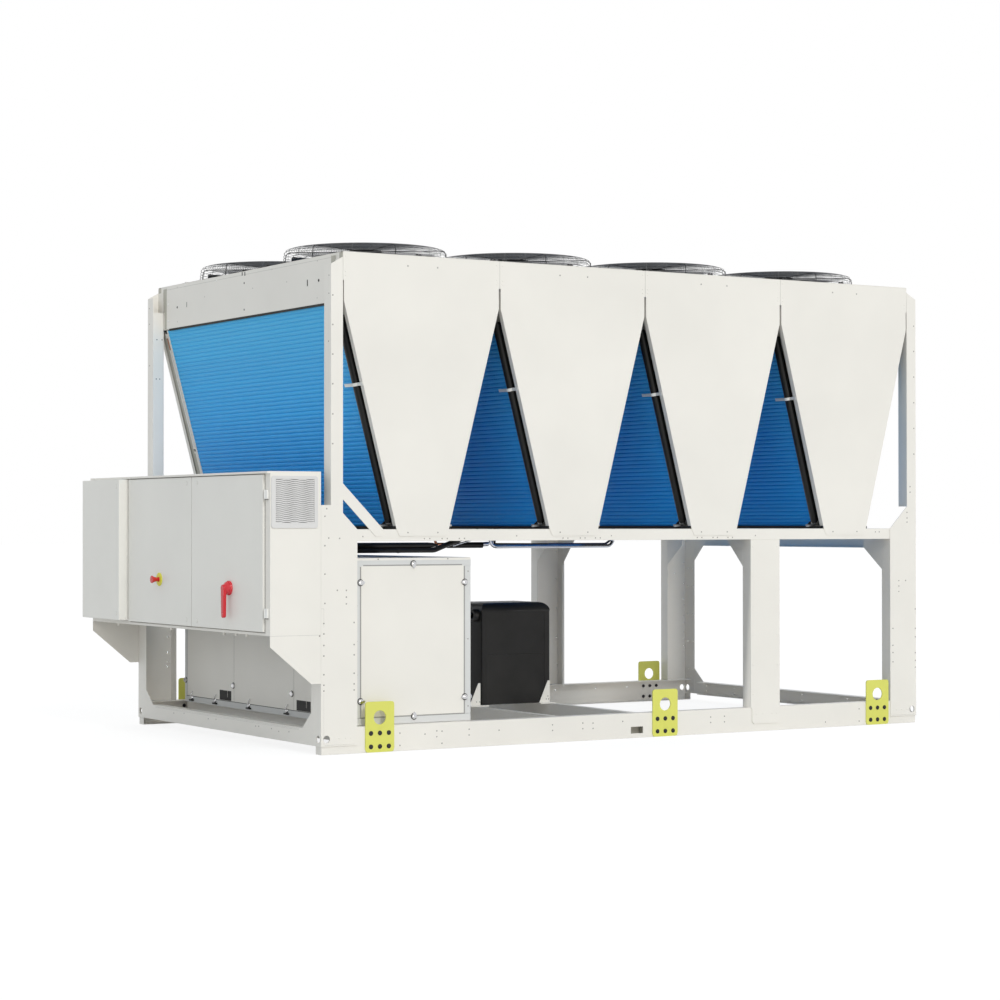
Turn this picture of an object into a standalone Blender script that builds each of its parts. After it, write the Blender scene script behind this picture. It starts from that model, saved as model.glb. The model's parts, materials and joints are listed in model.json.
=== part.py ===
"""Air-cooled water chiller: open base frame, four V coil modules under eight fans, cabinet on one end.

Metres, +Z up. Lengths along X are measured from the frame's end plane at the cabinet, and one empty
moves everything so that the origin lies under the middle of the machine, on the ground.
"""

import math

import bmesh
import bpy
from mathutils import Matrix, Vector

# Overall driving dimensions
FRAME_WIDTH = 2.224
PITCH = 0.9
MODULES = 4
FIRST_PITCH_LINE = 0.12
UPPER_POST_WIDTH = 0.0655
GAP = 0.0003

# Base frame
RAIL_HEIGHT = 0.129
RAIL_FLANGE = 0.060
RAIL_WALL = 0.005
RAIL_SLOT_START = 1.829
RAIL_SLOT_END = 1.906
RAIL_SLOT_LOW = 0.023
RAIL_SLOT_HIGH = 0.058
CORNER_HOLE_RADIUS = 0.019
CORNER_HOLE_INSET = 0.031
CORNER_HOLE_HEIGHT = 0.076
CORNER_HOLE_SIDES = 10
PLATE = 0.004
PLATE_FOOT = 0.040
SILL_DROP = 0.009
CORNER_PLATE_WIDTH = 0.105
FRONT_POST_WIDTH = 0.200
REAR_POST_WIDTH = 0.1895
POST_FLANGE = 0.072
MID_POST_START = 2.614
MID_POST_WIDTH = 0.197
MID_FOOT_INSET = 0.009
MID_FOOT_CHAMFER = 0.012
GUSSET = 0.095
SILL_GUSSET_RISE = 0.080
CROSS_MEMBER_PLACES = (1.380, 1.868)
CROSS_MEMBER_WIDTH = 0.036
CROSS_MEMBER_BOTTOM = 0.020
SHELF_MARGIN = 0.030
BRACKET_RISE = 0.125
BRACKET_BASE = 0.070
BRACKET_TIP = 0.013
BRACKET_SETBACK = 0.010

# Deck and upper posts
DECK_RAIL_TOP = 1.0972
DECK_RAIL_HEIGHT = 0.0585
DECK_BEAM_HEIGHT = 0.1122
DECK_CHANNEL_DEPTH = 0.055
MID_BEAM_DROP = 0.033
KNEE = 0.112
FRONT_STEP_RISE = 0.1184
POST_GUSSET_RISE = 0.080
REAR_GUSSET_REACH = 0.231
REAR_GUSSET_DROP = 0.107
REAR_GUSSET_RISE = 0.122
UPPER_POST_DROP = 0.065
UPPER_POST_CHAMFER = 0.037
BRACE_WIDTH = 0.055
BRACE_FOOT = 0.345
BRACE_LAP = 0.035

# V modules
V_HEIGHT = 1.1163
SLIT_HEIGHT = 0.1045
SLIT_HALF_WIDTH = 0.006
PANEL_THICKNESS = 0.0025
PANEL_SKIRT = 0.0352
PANEL_SKIRT_INSET = 0.018
PANEL_FOOT_HALF_WIDTH = 0.150
PANEL_SEAM = 0.001
PANEL_RETURN = 0.030
COIL_THICKNESS = 0.040
COIL_INSET = 0.006
COIL_END = 0.100
COIL_END_PLATE = 0.003
TRAY_HALF_WIDTH = 0.160
TRAY_WALL = 0.003
TRAY_HEIGHT = 0.014
HEADER_RADIUS = 0.0225
HEADER_DEPTH = 0.008
FASCIA_LIFT = 0.0045
FASCIA_MARGIN = 0.110
FASCIA_THICKNESS = 0.003

# Fan decks and fans
PLENUM_HEIGHT = 0.2445
DECK_SHEET = 0.003
PLENUM_WALL = 0.002
FAN_FROM_SIDE = 0.600
FAN_EDGE = 0.050
FAN_OPENING_SIDES = 18
GUARD_LAP = 0.024
GUARD_HEIGHT = 0.083
GUARD_SHOULDER = 0.030
GUARD_WIRE = 0.006
GUARD_SEGMENTS = 12
GUARD_SPOKES = 6
GUARD_SIDE_RING_SHARE = 0.42
GUARD_TOP_RING_INSET = 0.029
GUARD_EYE_RADIUS = 0.080
MOTOR_STUB_RADIUS = 0.045
MOTOR_STUB_LENGTH = 0.011
ROTOR_CLEARANCE = 0.015
ROTOR_HUB_RADIUS = 0.105
ROTOR_DEPTH = 0.046
ROTOR_BLADES = 5
BLADE_THICKNESS = 0.004
BLADE_HUB_PITCH = math.radians(38)
BLADE_TIP_PITCH = math.radians(20)
BLADE_HUB_CHORD = 0.056
BLADE_TIP_CHORD = 0.105
BLADE_SWEEP = math.radians(24)

# Cabinet
CABINET_BOTTOM = 0.584
CABINET_TOP = 1.378
CABINET_FRONT = -0.2745
CABINET_WALL = 0.003
DOOR_FRONT = -0.2865
DOOR_THICKNESS = 0.025
DOOR_BOTTOM = 0.602
DOOR_TOP = 1.362
DOOR_CLEARANCE = 0.005
DOOR_2_START = 0.057
COVER_WIDTH = 0.521
COVER_DEPTH = 0.0515
COVER_WALL = 0.003
BRACKET_NOSE_DROP = 0.053
BRACKET_BOTTOM = 0.347
BRACKET_FOOT = -0.052
BRACKET_PLATE = 0.004
SWITCH_FROM_SIDE = 0.428
SWITCH_HEIGHT = 0.807
STOP_FROM_SIDE = 1.281
STOP_HEIGHT = 0.834
DOOR_LIP = 0.018
DOOR_RIM = 0.016
GRILLE_START = -0.246
GRILLE_END = -0.037
GRILLE_BOTTOM = 1.129
GRILLE_TOP = 1.340
GRILLE_SLOTS = 9
GRILLE_OPEN_SHARE = 0.6
SWITCH_BASE_RADIUS = 0.034
SWITCH_BASE_DEPTH = 0.012
SWITCH_HUB_RADIUS = 0.022
SWITCH_REACH = 0.042
SWITCH_LEVER_WIDTH = 0.026
SWITCH_LEVER_LENGTH = 0.147
STOP_COLLAR_RADIUS = 0.034
STOP_COLLAR_DEPTH = 0.006
STOP_BOSS_RADIUS = 0.019
STOP_BOSS_DEPTH = 0.014
STOP_STEM_RADIUS = 0.010
STOP_STEM_BITE = 0.012
STOP_REACH = 0.047
STOP_HEAD_DEPTH = 0.018
STOP_HEAD_RADIUS = 0.020

# Compressor housing, evaporator, pipes and lugs
HOUSING_START = 0.210
HOUSING_END = 0.880
HOUSING_NEAR = 0.055
HOUSING_FAR_MARGIN = 0.164
HOUSING_BOTTOM = 0.130
HOUSING_HEADROOM = 0.0837
HOUSING_PROFILE = 0.036
HOUSING_GROOVE = 0.005
HOUSING_NEAR_PANEL = 0.653
HOUSING_FAR_PANEL = 0.640
SKID_WIDTH = 0.060
SKID_BOTTOM = 0.030
EVAPORATOR_START = 1.440
EVAPORATOR_END = 1.885
EVAPORATOR_NEAR = 0.875
EVAPORATOR_DEPTH = 0.350
EVAPORATOR_TOP = 0.690
EVAPORATOR_ROUND = 0.030
SUCTION_FROM_SIDE = 1.000
SUCTION_START = 0.300
SUCTION_TURN = 1.2145
SUCTION_LIFT = 0.026
SUCTION_RADIUS = 0.0145
SUCTION_BEND = 0.080
SUCTION_CLIMB = math.radians(20)
SUCTION_STUBS = (0.330, 0.600)
SECOND_PIPE_END = 1.174
SECOND_PIPE_RISE = 0.0275
LIQUID_FROM_SIDE = 0.900
LIQUID_START = 1.510
LIQUID_END = 2.325
LIQUID_HEIGHT = 0.999
LIQUID_RADIUS = 0.010
LIQUID_BEND = 0.040
LUG_WIDTH = 0.162
LUG_HEIGHT = 0.250
LUG_THICKNESS = 0.010
LUG_HOLE_RADIUS = 0.0345
LUG_HOLE_HEIGHT = 0.171
LUG_ROUND = 0.012
LUG_PLACES = (0.325, 2.045, 3.500)

FRAME_LENGTH = FIRST_PITCH_LINE + PITCH * MODULES + UPPER_POST_WIDTH
HALF_WIDTH = FRAME_WIDTH / 2
SILL_TOP = RAIL_HEIGHT - SILL_DROP
DECK_RAIL_BOTTOM = DECK_RAIL_TOP - DECK_RAIL_HEIGHT
DECK_BEAM_BOTTOM = DECK_RAIL_TOP - DECK_BEAM_HEIGHT
FRONT_STEP_TOP = DECK_RAIL_TOP + FRONT_STEP_RISE
APEX_HEIGHT = DECK_RAIL_TOP + V_HEIGHT
DECK_TOP = APEX_HEIGHT + PLENUM_HEIGHT
UPPER_POST_TOP = DECK_TOP - UPPER_POST_DROP
GUARD_TOP = DECK_TOP + GUARD_HEIGHT
ROTOR_TOP = GUARD_TOP - GUARD_WIRE - MOTOR_STUB_LENGTH
ROTOR_BOTTOM = ROTOR_TOP - ROTOR_DEPTH
FAN_OPENING_RADIUS = PITCH / 2 - FAN_EDGE
GUARD_RADIUS = FAN_OPENING_RADIUS + GUARD_LAP
GUARD_TOP_RING_RADIUS = GUARD_RADIUS - GUARD_TOP_RING_INSET
ROTOR_RADIUS = FAN_OPENING_RADIUS - ROTOR_CLEARANCE
DOOR_1_END = FRAME_WIDTH - COVER_WIDTH
DOOR_SEAM = (DOOR_2_START + DOOR_1_END) / 2
COVER_FRONT = DOOR_FRONT - COVER_DEPTH
HOUSING_FAR = FRAME_WIDTH - HOUSING_FAR_MARGIN
HOUSING_TOP = DECK_RAIL_BOTTOM - HOUSING_HEADROOM
SUCTION_HEIGHT = HOUSING_TOP + SUCTION_LIFT
HOUSING_SEAMS = (HOUSING_NEAR + HOUSING_NEAR_PANEL, HOUSING_FAR - HOUSING_FAR_PANEL)
SHEET_SIDE = -HALF_WIDTH
RAIL_SIDE = SHEET_SIDE + PLATE + GAP
DECK_RAIL_SIDE = SHEET_SIDE + PANEL_THICKNESS + GAP
SLOPE = (PITCH / 2 - PANEL_FOOT_HALF_WIDTH) / V_HEIGHT


def clear_scene():
    for obj in list(bpy.data.objects):
        bpy.data.objects.remove(obj, do_unlink=True)


def new_collection(name):
    made = bpy.data.collections.new(name)
    bpy.context.scene.collection.children.link(made)
    return made


def make_material(name, colour, roughness, metallic=0.0):
    made = bpy.data.materials.new(name)
    made.use_nodes = True
    shader = made.node_tree.nodes["Principled BSDF"]
    shader.inputs["Base Color"].default_value = (*colour, 1.0)
    shader.inputs["Roughness"].default_value = roughness
    shader.inputs["Metallic"].default_value = metallic
    return made


clear_scene()
MACHINE = new_collection("water_chiller")
HELPERS = new_collection("cutters")

PAINT = make_material("ivory_paint", (0.80, 0.78, 0.74), 0.45)
COIL_BLUE = make_material("blue_fins", (0.06, 0.32, 0.62), 0.5, 0.2)
BLACK = make_material("black_plastic", (0.02, 0.02, 0.02), 0.5)
FOAM = make_material("black_insulation", (0.02, 0.02, 0.02), 0.6)
YELLOW = make_material("yellow_paint", (0.75, 0.74, 0.12), 0.5)
RED = make_material("red_plastic", (0.62, 0.02, 0.02), 0.4)
FRAME_GREY = make_material("grey_paint", (0.66, 0.66, 0.64), 0.45)
COPPER_GREY = make_material("bare_tube", (0.55, 0.57, 0.62), 0.3, 0.8)

ORIGIN = bpy.data.objects.new("machine_origin", None)
ORIGIN.location = (-(COVER_FRONT + FRAME_LENGTH) / 2, 0, 0)
MACHINE.objects.link(ORIGIN)


def mesh_object(name, shape):
    """An object from a bmesh, with its normals out."""
    bmesh.ops.recalc_face_normals(shape, faces=shape.faces)
    mesh = bpy.data.meshes.new(name)
    shape.to_mesh(mesh)
    shape.free()
    return bpy.data.objects.new(name, mesh)


def box(low, high):
    shape = bmesh.new()
    bmesh.ops.create_cube(shape, size=1)
    size = Vector(high) - Vector(low)
    centre = (Vector(high) + Vector(low)) / 2
    bmesh.ops.transform(
        shape, matrix=Matrix.Translation(centre) @ Matrix.Diagonal((*size, 1)), verts=shape.verts
    )
    return mesh_object("box", shape)


def rod(start, end, radius, sides=16, turn=0.0):
    """A straight round bar between two points."""
    start, end = Vector(start), Vector(end)
    way = end - start
    shape = bmesh.new()
    bmesh.ops.create_cone(
        shape,
        cap_ends=True,
        segments=sides,
        radius1=radius,
        radius2=radius,
        depth=way.length,
    )
    matrix = (
        Matrix.Translation((start + end) / 2)
        @ way.to_track_quat("Z", "Y").to_matrix().to_4x4()
        @ Matrix.Rotation(turn, 4, "Z")
    )
    bmesh.ops.transform(shape, matrix=matrix, verts=shape.verts)
    return mesh_object("rod", shape)


def as_mesh(source):
    """A curve object made into a mesh object, its caps welded to its sides."""
    MACHINE.objects.link(source)
    bpy.context.view_layer.update()
    graph = bpy.context.evaluated_depsgraph_get()
    mesh = bpy.data.meshes.new_from_object(source.evaluated_get(graph))
    matrix = source.matrix_world.copy()
    bpy.data.objects.remove(source, do_unlink=True)
    shape = bmesh.new()
    shape.from_mesh(mesh)
    bmesh.ops.remove_doubles(shape, verts=shape.verts, dist=1e-5)
    bmesh.ops.transform(shape, matrix=matrix, verts=shape.verts)
    return mesh_object("outline", shape)


def prism(outline, along, start, end):
    """A flat outline extruded along an axis: (y, z) along X, (x, z) along Y, (x, y) along Z."""
    curve = bpy.data.curves.new("outline", "CURVE")
    curve.dimensions = "2D"
    curve.fill_mode = "BOTH"
    curve.extrude = abs(end - start) / 2
    spline = curve.splines.new("POLY")
    spline.points.add(len(outline) - 1)
    for point, (u, v) in zip(spline.points, outline):
        point.co = (u, v, 0, 1)
    spline.use_cyclic_u = True
    made = bpy.data.objects.new("outline", curve)
    columns = {
        "X": (Vector((0, 1, 0)), Vector((0, 0, 1)), Vector((1, 0, 0))),
        "Y": (Vector((1, 0, 0)), Vector((0, 0, 1)), Vector((0, -1, 0))),
        "Z": (Vector((1, 0, 0)), Vector((0, 1, 0)), Vector((0, 0, 1))),
    }[along]
    turn = Matrix(columns).transposed().to_4x4()
    middle = Vector([(start + end) / 2 if axis == along else 0.0 for axis in "XYZ"])
    made.matrix_world = Matrix.Translation(middle) @ turn
    return as_mesh(made)


def tube(points, radius, resolution=2):
    """A round tube along a list of points."""
    curve = bpy.data.curves.new("tube", "CURVE")
    curve.dimensions = "3D"
    curve.bevel_depth = radius
    curve.bevel_resolution = resolution
    curve.use_fill_caps = True
    spline = curve.splines.new("POLY")
    spline.points.add(len(points) - 1)
    for point, place in zip(spline.points, points):
        point.co = (*place, 1)
    return as_mesh(bpy.data.objects.new("tube", curve))


def helper(obj):
    """Keeps a cutter or a fused shape out of the render."""
    HELPERS.objects.link(obj)
    obj.parent = ORIGIN
    obj.hide_render = True
    obj.display_type = "WIRE"
    return obj


def place(obj, name, material, parent=None):
    obj.name = name
    obj.data.name = name
    obj.data.materials.clear()
    obj.data.materials.append(material)
    MACHINE.objects.link(obj)
    obj.parent = parent or ORIGIN
    return obj


def boolean(obj, other, operation):
    modifier = obj.modifiers.new(operation.lower(), "BOOLEAN")
    modifier.operation = operation
    modifier.solver = "EXACT"
    modifier.object = helper(other)


def fuse(obj, *others):
    for other in others:
        boolean(obj, other, "UNION")
    return obj


def cut(obj, *others):
    for other in others:
        boolean(obj, other, "DIFFERENCE")
    return obj


def settled(obj):
    """The shape with its Booleans worked out, as a new object in the same place."""
    MACHINE.objects.link(obj)
    obj.parent = ORIGIN
    bpy.context.view_layer.update()
    graph = bpy.context.evaluated_depsgraph_get()
    mesh = bpy.data.meshes.new_from_object(obj.evaluated_get(graph))
    helpers = [modifier.object for modifier in obj.modifiers]
    for old in [obj, *helpers]:
        bpy.data.objects.remove(old, do_unlink=True)
    return bpy.data.objects.new("shape", mesh)


def mirrored(obj):
    """The same shape on the far long side."""
    shape = bmesh.new()
    shape.from_mesh(obj.data)
    bmesh.ops.transform(shape, matrix=Matrix.Diagonal((1, -1, 1, 1)), verts=shape.verts)
    return mesh_object("shape", shape)


def both_sides(obj, name, material):
    """Places a shape of the near side and its mirror image on the far side."""
    far = mirrored(obj)
    place(obj, name + "_near", material)
    place(far, name + "_far", material)


def channel(side, bottom, top, depth, wall):
    """Outline of a C-channel whose web stands at side and which opens towards +."""
    inner = side + wall
    lip = side + depth
    return [
        (side, bottom),
        (lip, bottom),
        (lip, bottom + wall),
        (inner, bottom + wall),
        (inner, top - wall),
        (lip, top - wall),
        (lip, top),
        (side, top),
    ]


def from_side(distance):
    """Y of a point that lies this far from the near long side."""
    return distance - HALF_WIDTH


def pitch_centre(index):
    return FIRST_PITCH_LINE + PITCH * (index + 0.5)


def corner_hole(x, start, end):
    """Cutter for the round hole in a side plate, at this X, between two distances from the near side."""
    return rod(
        (x, from_side(start), CORNER_HOLE_HEIGHT),
        (x, from_side(end), CORNER_HOLE_HEIGHT),
        CORNER_HOLE_RADIUS,
        CORNER_HOLE_SIDES,
    )


def end_hole(plane):
    """Cutter for the round hole in an end plate, beside the corner."""
    y = from_side(CORNER_HOLE_INSET)
    return rod(
        (plane - PLATE * 2, y, CORNER_HOLE_HEIGHT),
        (plane + PLATE * 2, y, CORNER_HOLE_HEIGHT),
        CORNER_HOLE_RADIUS,
        CORNER_HOLE_SIDES,
    )


def base_rails():
    """The long channels, each with a closed foot at both ends, a slot and the corner holes."""
    outline = channel(RAIL_SIDE, 0, RAIL_HEIGHT, RAIL_FLANGE, RAIL_WALL)
    start, end = PLATE + GAP, FRAME_LENGTH - PLATE - GAP
    rail = prism(outline, "X", start, end)
    lip = RAIL_SIDE + RAIL_FLANGE
    skin = RAIL_SIDE + RAIL_WALL / 2
    for low, high in ((start, start + RAIL_WALL), (end - RAIL_WALL, end)):
        fuse(rail, box((low, skin, RAIL_WALL / 2), (high, lip, PLATE_FOOT)))
    slot = box(
        (RAIL_SLOT_START, RAIL_SIDE - RAIL_WALL, RAIL_SLOT_LOW),
        (RAIL_SLOT_END, RAIL_SIDE + RAIL_WALL * 2, RAIL_SLOT_HIGH),
    )
    cut(rail, slot)
    for x in (CORNER_HOLE_INSET, FRAME_LENGTH - CORNER_HOLE_INSET):
        cut(rail, corner_hole(x, PLATE, PLATE * 4))
    both_sides(settled(rail), "base_rail", PAINT)


def end_plate_outline(bottom, top, gusset_side):
    """Plate between two corner posts, with its gussets: (y, z). gusset_side is +1 up, -1 down."""
    inner = HALF_WIDTH - CORNER_PLATE_WIDTH - GAP
    if gusset_side > 0:
        half = [(inner, bottom), (inner, top + SILL_GUSSET_RISE), (inner - GUSSET, top)]
    else:
        half = [(inner - GUSSET, bottom), (inner, bottom - GUSSET), (inner, top)]
    return half + [(-y, z) for y, z in reversed(half)]


def end_channel(plane, inward, bottom, top, gusset_side, name):
    """A pressed end plate with a flange along its top and bottom edges."""
    low, high = sorted((plane, plane + inward * PLATE))
    plate = prism(end_plate_outline(bottom, top, gusset_side), "X", low, high)
    inner = HALF_WIDTH - CORNER_PLATE_WIDTH - GAP
    reach = inner - GUSSET
    flange_low, flange_high = sorted((plane + inward * PLATE / 2, plane + inward * DECK_CHANNEL_DEPTH))
    flanges = [
        box((flange_low, -reach, z), (flange_high, reach, z + PLATE)) for z in (bottom, top - PLATE)
    ]
    fuse(plate, *flanges)
    place(plate, name, PAINT)


def base_ends():
    end_channel(0, 1, PLATE_FOOT, SILL_TOP, 1, "end_sill_front")
    end_channel(FRAME_LENGTH, -1, PLATE_FOOT, SILL_TOP, 1, "end_sill_rear")
    end_channel(0, 1, DECK_BEAM_BOTTOM, DECK_RAIL_TOP, -1, "deck_beam_front")
    end_channel(FRAME_LENGTH, -1, DECK_BEAM_BOTTOM, DECK_RAIL_TOP, -1, "deck_beam_rear")


def cross_members():
    """Two channels of the base, each with a shelf and two triangular brackets for the evaporator."""
    reach = -RAIL_SIDE - RAIL_FLANGE - GAP
    near = from_side(EVAPORATOR_NEAR)
    far = near + EVAPORATOR_DEPTH
    shelf_top = RAIL_HEIGHT + PLATE
    first, second = CROSS_MEMBER_PLACES
    members = (
        (1, first, EVAPORATOR_START - BRACKET_SETBACK),
        (2, second, EVAPORATOR_END - BRACKET_SETBACK / 2),
    )
    for number, start, edge in members:
        outline = channel(start, CROSS_MEMBER_BOTTOM, RAIL_HEIGHT, CROSS_MEMBER_WIDTH, PLATE)
        member = prism(outline, "Y", -reach, reach)
        low = edge - BRACKET_BASE - PLATE
        high = max(start + CROSS_MEMBER_WIDTH, EVAPORATOR_START + SHELF_MARGIN)
        shelf = box(
            (low, near - SHELF_MARGIN, RAIL_HEIGHT - PLATE / 2),
            (high - PLATE / 4, far + SHELF_MARGIN, shelf_top),
        )
        fuse(member, shelf)
        bracket = [
            (edge - BRACKET_BASE, shelf_top - PLATE / 2),
            (edge, shelf_top - PLATE / 2),
            (edge, RAIL_HEIGHT + BRACKET_RISE),
            (edge - BRACKET_TIP, RAIL_HEIGHT + BRACKET_RISE),
        ]
        for side in (near - GAP - PLATE, far + GAP):
            fuse(member, prism(bracket, "Y", side, side + PLATE))
        place(member, f"cross_member_{number}", PAINT)


def brace():
    """Flat bar at 45 degrees from the front upper post down over the face of the deck rail."""
    foot_x, foot_z = BRACE_FOOT, DECK_RAIL_TOP
    head_x = FIRST_PITCH_LINE - PLATE
    head_z = foot_z + foot_x - head_x
    step = BRACE_WIDTH * math.sqrt(2)
    outline = [
        (head_x, head_z),
        (head_x, head_z - step),
        (foot_x - step + BRACE_LAP, foot_z - BRACE_LAP),
        (foot_x, foot_z - BRACE_LAP),
        (foot_x, foot_z),
    ]
    inset = PANEL_THICKNESS / 8
    return prism(outline, "Y", SHEET_SIDE + inset, SHEET_SIDE + PANEL_THICKNESS - inset)


def front_posts():
    upper_start = FIRST_PITCH_LINE - UPPER_POST_WIDTH
    neck = DECK_RAIL_TOP + POST_GUSSET_RISE
    outline = [
        (0, PLATE_FOOT),
        (FRONT_POST_WIDTH, PLATE_FOOT),
        (FRONT_POST_WIDTH, DECK_RAIL_TOP),
        (FIRST_PITCH_LINE, neck),
        (FIRST_PITCH_LINE, UPPER_POST_TOP + UPPER_POST_CHAMFER),
        (upper_start, UPPER_POST_TOP),
        (upper_start, FRONT_STEP_TOP),
        (0, FRONT_STEP_TOP),
    ]
    skin = SHEET_SIDE + PLATE / 2
    corner = SHEET_SIDE + CORNER_PLATE_WIDTH
    flange = SHEET_SIDE + POST_FLANGE
    post = prism(outline, "Y", SHEET_SIDE, SHEET_SIDE + PLATE)
    fuse(
        post,
        box((0, skin, PLATE_FOOT), (PLATE, corner, FRONT_STEP_TOP)),
        box((FRONT_POST_WIDTH - PLATE, skin, RAIL_HEIGHT + GAP), (FRONT_POST_WIDTH, flange, DECK_RAIL_TOP)),
        box((upper_start, skin, neck), (upper_start + PLATE, flange, UPPER_POST_TOP)),
        box(
            (FIRST_PITCH_LINE - PLATE, skin, neck),
            (FIRST_PITCH_LINE, flange, UPPER_POST_TOP + UPPER_POST_CHAMFER - PLATE),
        ),
        box((PLATE / 2, skin, FRONT_STEP_TOP - PLATE), (upper_start + PLATE / 2, corner, FRONT_STEP_TOP)),
        brace(),
    )
    cut(post, corner_hole(CORNER_HOLE_INSET, -PLATE, PLATE * 2), end_hole(0))
    both_sides(settled(post), "front_post", PAINT)


def rear_posts():
    start = FRAME_LENGTH - REAR_POST_WIDTH
    upper_start = FRAME_LENGTH - UPPER_POST_WIDTH
    neck = DECK_RAIL_TOP + upper_start - start
    outline = [
        (start, PLATE_FOOT),
        (FRAME_LENGTH, PLATE_FOOT),
        (FRAME_LENGTH, UPPER_POST_TOP),
        (upper_start, UPPER_POST_TOP + UPPER_POST_CHAMFER),
        (upper_start, neck),
        (start, DECK_RAIL_TOP),
    ]
    skin = SHEET_SIDE + PLATE / 2
    corner = SHEET_SIDE + CORNER_PLATE_WIDTH
    flange = SHEET_SIDE + POST_FLANGE
    gusset_low = DECK_BEAM_BOTTOM + PLATE
    gusset = [
        (flange - PLATE, gusset_low - REAR_GUSSET_RISE),
        (flange, gusset_low - REAR_GUSSET_RISE),
        (from_side(REAR_GUSSET_REACH), gusset_low),
        (from_side(REAR_GUSSET_REACH), gusset_low + REAR_GUSSET_DROP - PLATE),
        (flange - PLATE, gusset_low + REAR_GUSSET_DROP - PLATE),
    ]
    post = prism(outline, "Y", SHEET_SIDE, SHEET_SIDE + PLATE)
    fuse(
        post,
        prism(gusset, "X", start + PLATE / 8, start + PLATE * 7 / 8),
        box((FRAME_LENGTH - PLATE, skin, PLATE_FOOT), (FRAME_LENGTH, corner, DECK_RAIL_TOP)),
        box((FRAME_LENGTH - PLATE, skin, DECK_BEAM_BOTTOM), (FRAME_LENGTH, flange, UPPER_POST_TOP)),
        box((start, skin, RAIL_HEIGHT + GAP), (start + PLATE, flange, DECK_RAIL_TOP)),
        box(
            (upper_start, skin, neck),
            (upper_start + PLATE, flange, UPPER_POST_TOP + UPPER_POST_CHAMFER - PLATE),
        ),
    )
    hole_x = FRAME_LENGTH - CORNER_HOLE_INSET
    cut(post, corner_hole(hole_x, -PLATE, PLATE * 2), end_hole(FRAME_LENGTH))
    both_sides(settled(post), "rear_post", PAINT)


def mid_posts():
    end = MID_POST_START + MID_POST_WIDTH
    top = DECK_RAIL_BOTTOM - GAP
    skin = SHEET_SIDE + PLATE / 2
    flange = SHEET_SIDE + POST_FLANGE
    start = MID_POST_START
    foot_start = start + MID_FOOT_INSET
    outline = [
        (start, top),
        (start, RAIL_HEIGHT),
        (foot_start, RAIL_HEIGHT - MID_FOOT_INSET),
        (foot_start, PLATE_FOOT + MID_FOOT_CHAMFER),
        (foot_start + MID_FOOT_CHAMFER, PLATE_FOOT),
        (end - MID_FOOT_CHAMFER, PLATE_FOOT),
        (end, PLATE_FOOT + MID_FOOT_CHAMFER),
        (end, top),
    ]
    post = prism(outline, "Y", SHEET_SIDE, SHEET_SIDE + PLATE)
    fuse(
        post,
        box((start, skin, RAIL_HEIGHT + GAP), (start + PLATE, flange, top)),
        box((end - PLATE, skin, RAIL_HEIGHT + GAP), (end, flange, top)),
    )
    both_sides(settled(post), "mid_post", PAINT)


def mid_deck_beam():
    """Cross beam between the mid posts, with a knee gusset at each end."""
    low = DECK_RAIL_BOTTOM - MID_BEAM_DROP
    knee = HALF_WIDTH - POST_FLANGE - GAP
    half = [(knee, DECK_RAIL_BOTTOM - GAP), (knee, low - KNEE), (knee - KNEE, low)]
    plate = half + [(-y, z) for y, z in reversed(half)]
    beam = prism(plate, "X", MID_POST_START, MID_POST_START + PLATE)
    fuse(
        beam,
        box(
            (MID_POST_START, -knee, low),
            (MID_POST_START + PLATE, knee, DECK_RAIL_TOP),
        ),
        box(
            (MID_POST_START + PLATE / 2, -knee, DECK_RAIL_TOP - PLATE),
            (MID_POST_START + DECK_CHANNEL_DEPTH, knee, DECK_RAIL_TOP),
        ),
    )
    place(beam, "deck_beam_mid", PAINT)


def deck_rails():
    outline = channel(DECK_RAIL_SIDE, DECK_RAIL_BOTTOM, DECK_RAIL_TOP, DECK_CHANNEL_DEPTH, PLATE)
    start = FRONT_POST_WIDTH + GAP
    end = FRAME_LENGTH - REAR_POST_WIDTH - GAP
    rail = prism(outline, "X", start, end)
    both_sides(rail, "deck_rail", PAINT)


def fascias():
    half = HALF_WIDTH - FASCIA_MARGIN
    top = DECK_TOP - DECK_SHEET - GAP
    for name, plane in (
        ("fascia_front", FIRST_PITCH_LINE + PANEL_SEAM - GAP - FASCIA_THICKNESS),
        ("fascia_rear", FIRST_PITCH_LINE + PITCH * MODULES - PANEL_SEAM + GAP),
    ):
        fascia = box((plane, -half, APEX_HEIGHT + FASCIA_LIFT), (plane + FASCIA_THICKNESS, half, top))
        place(fascia, name, PAINT)


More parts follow.
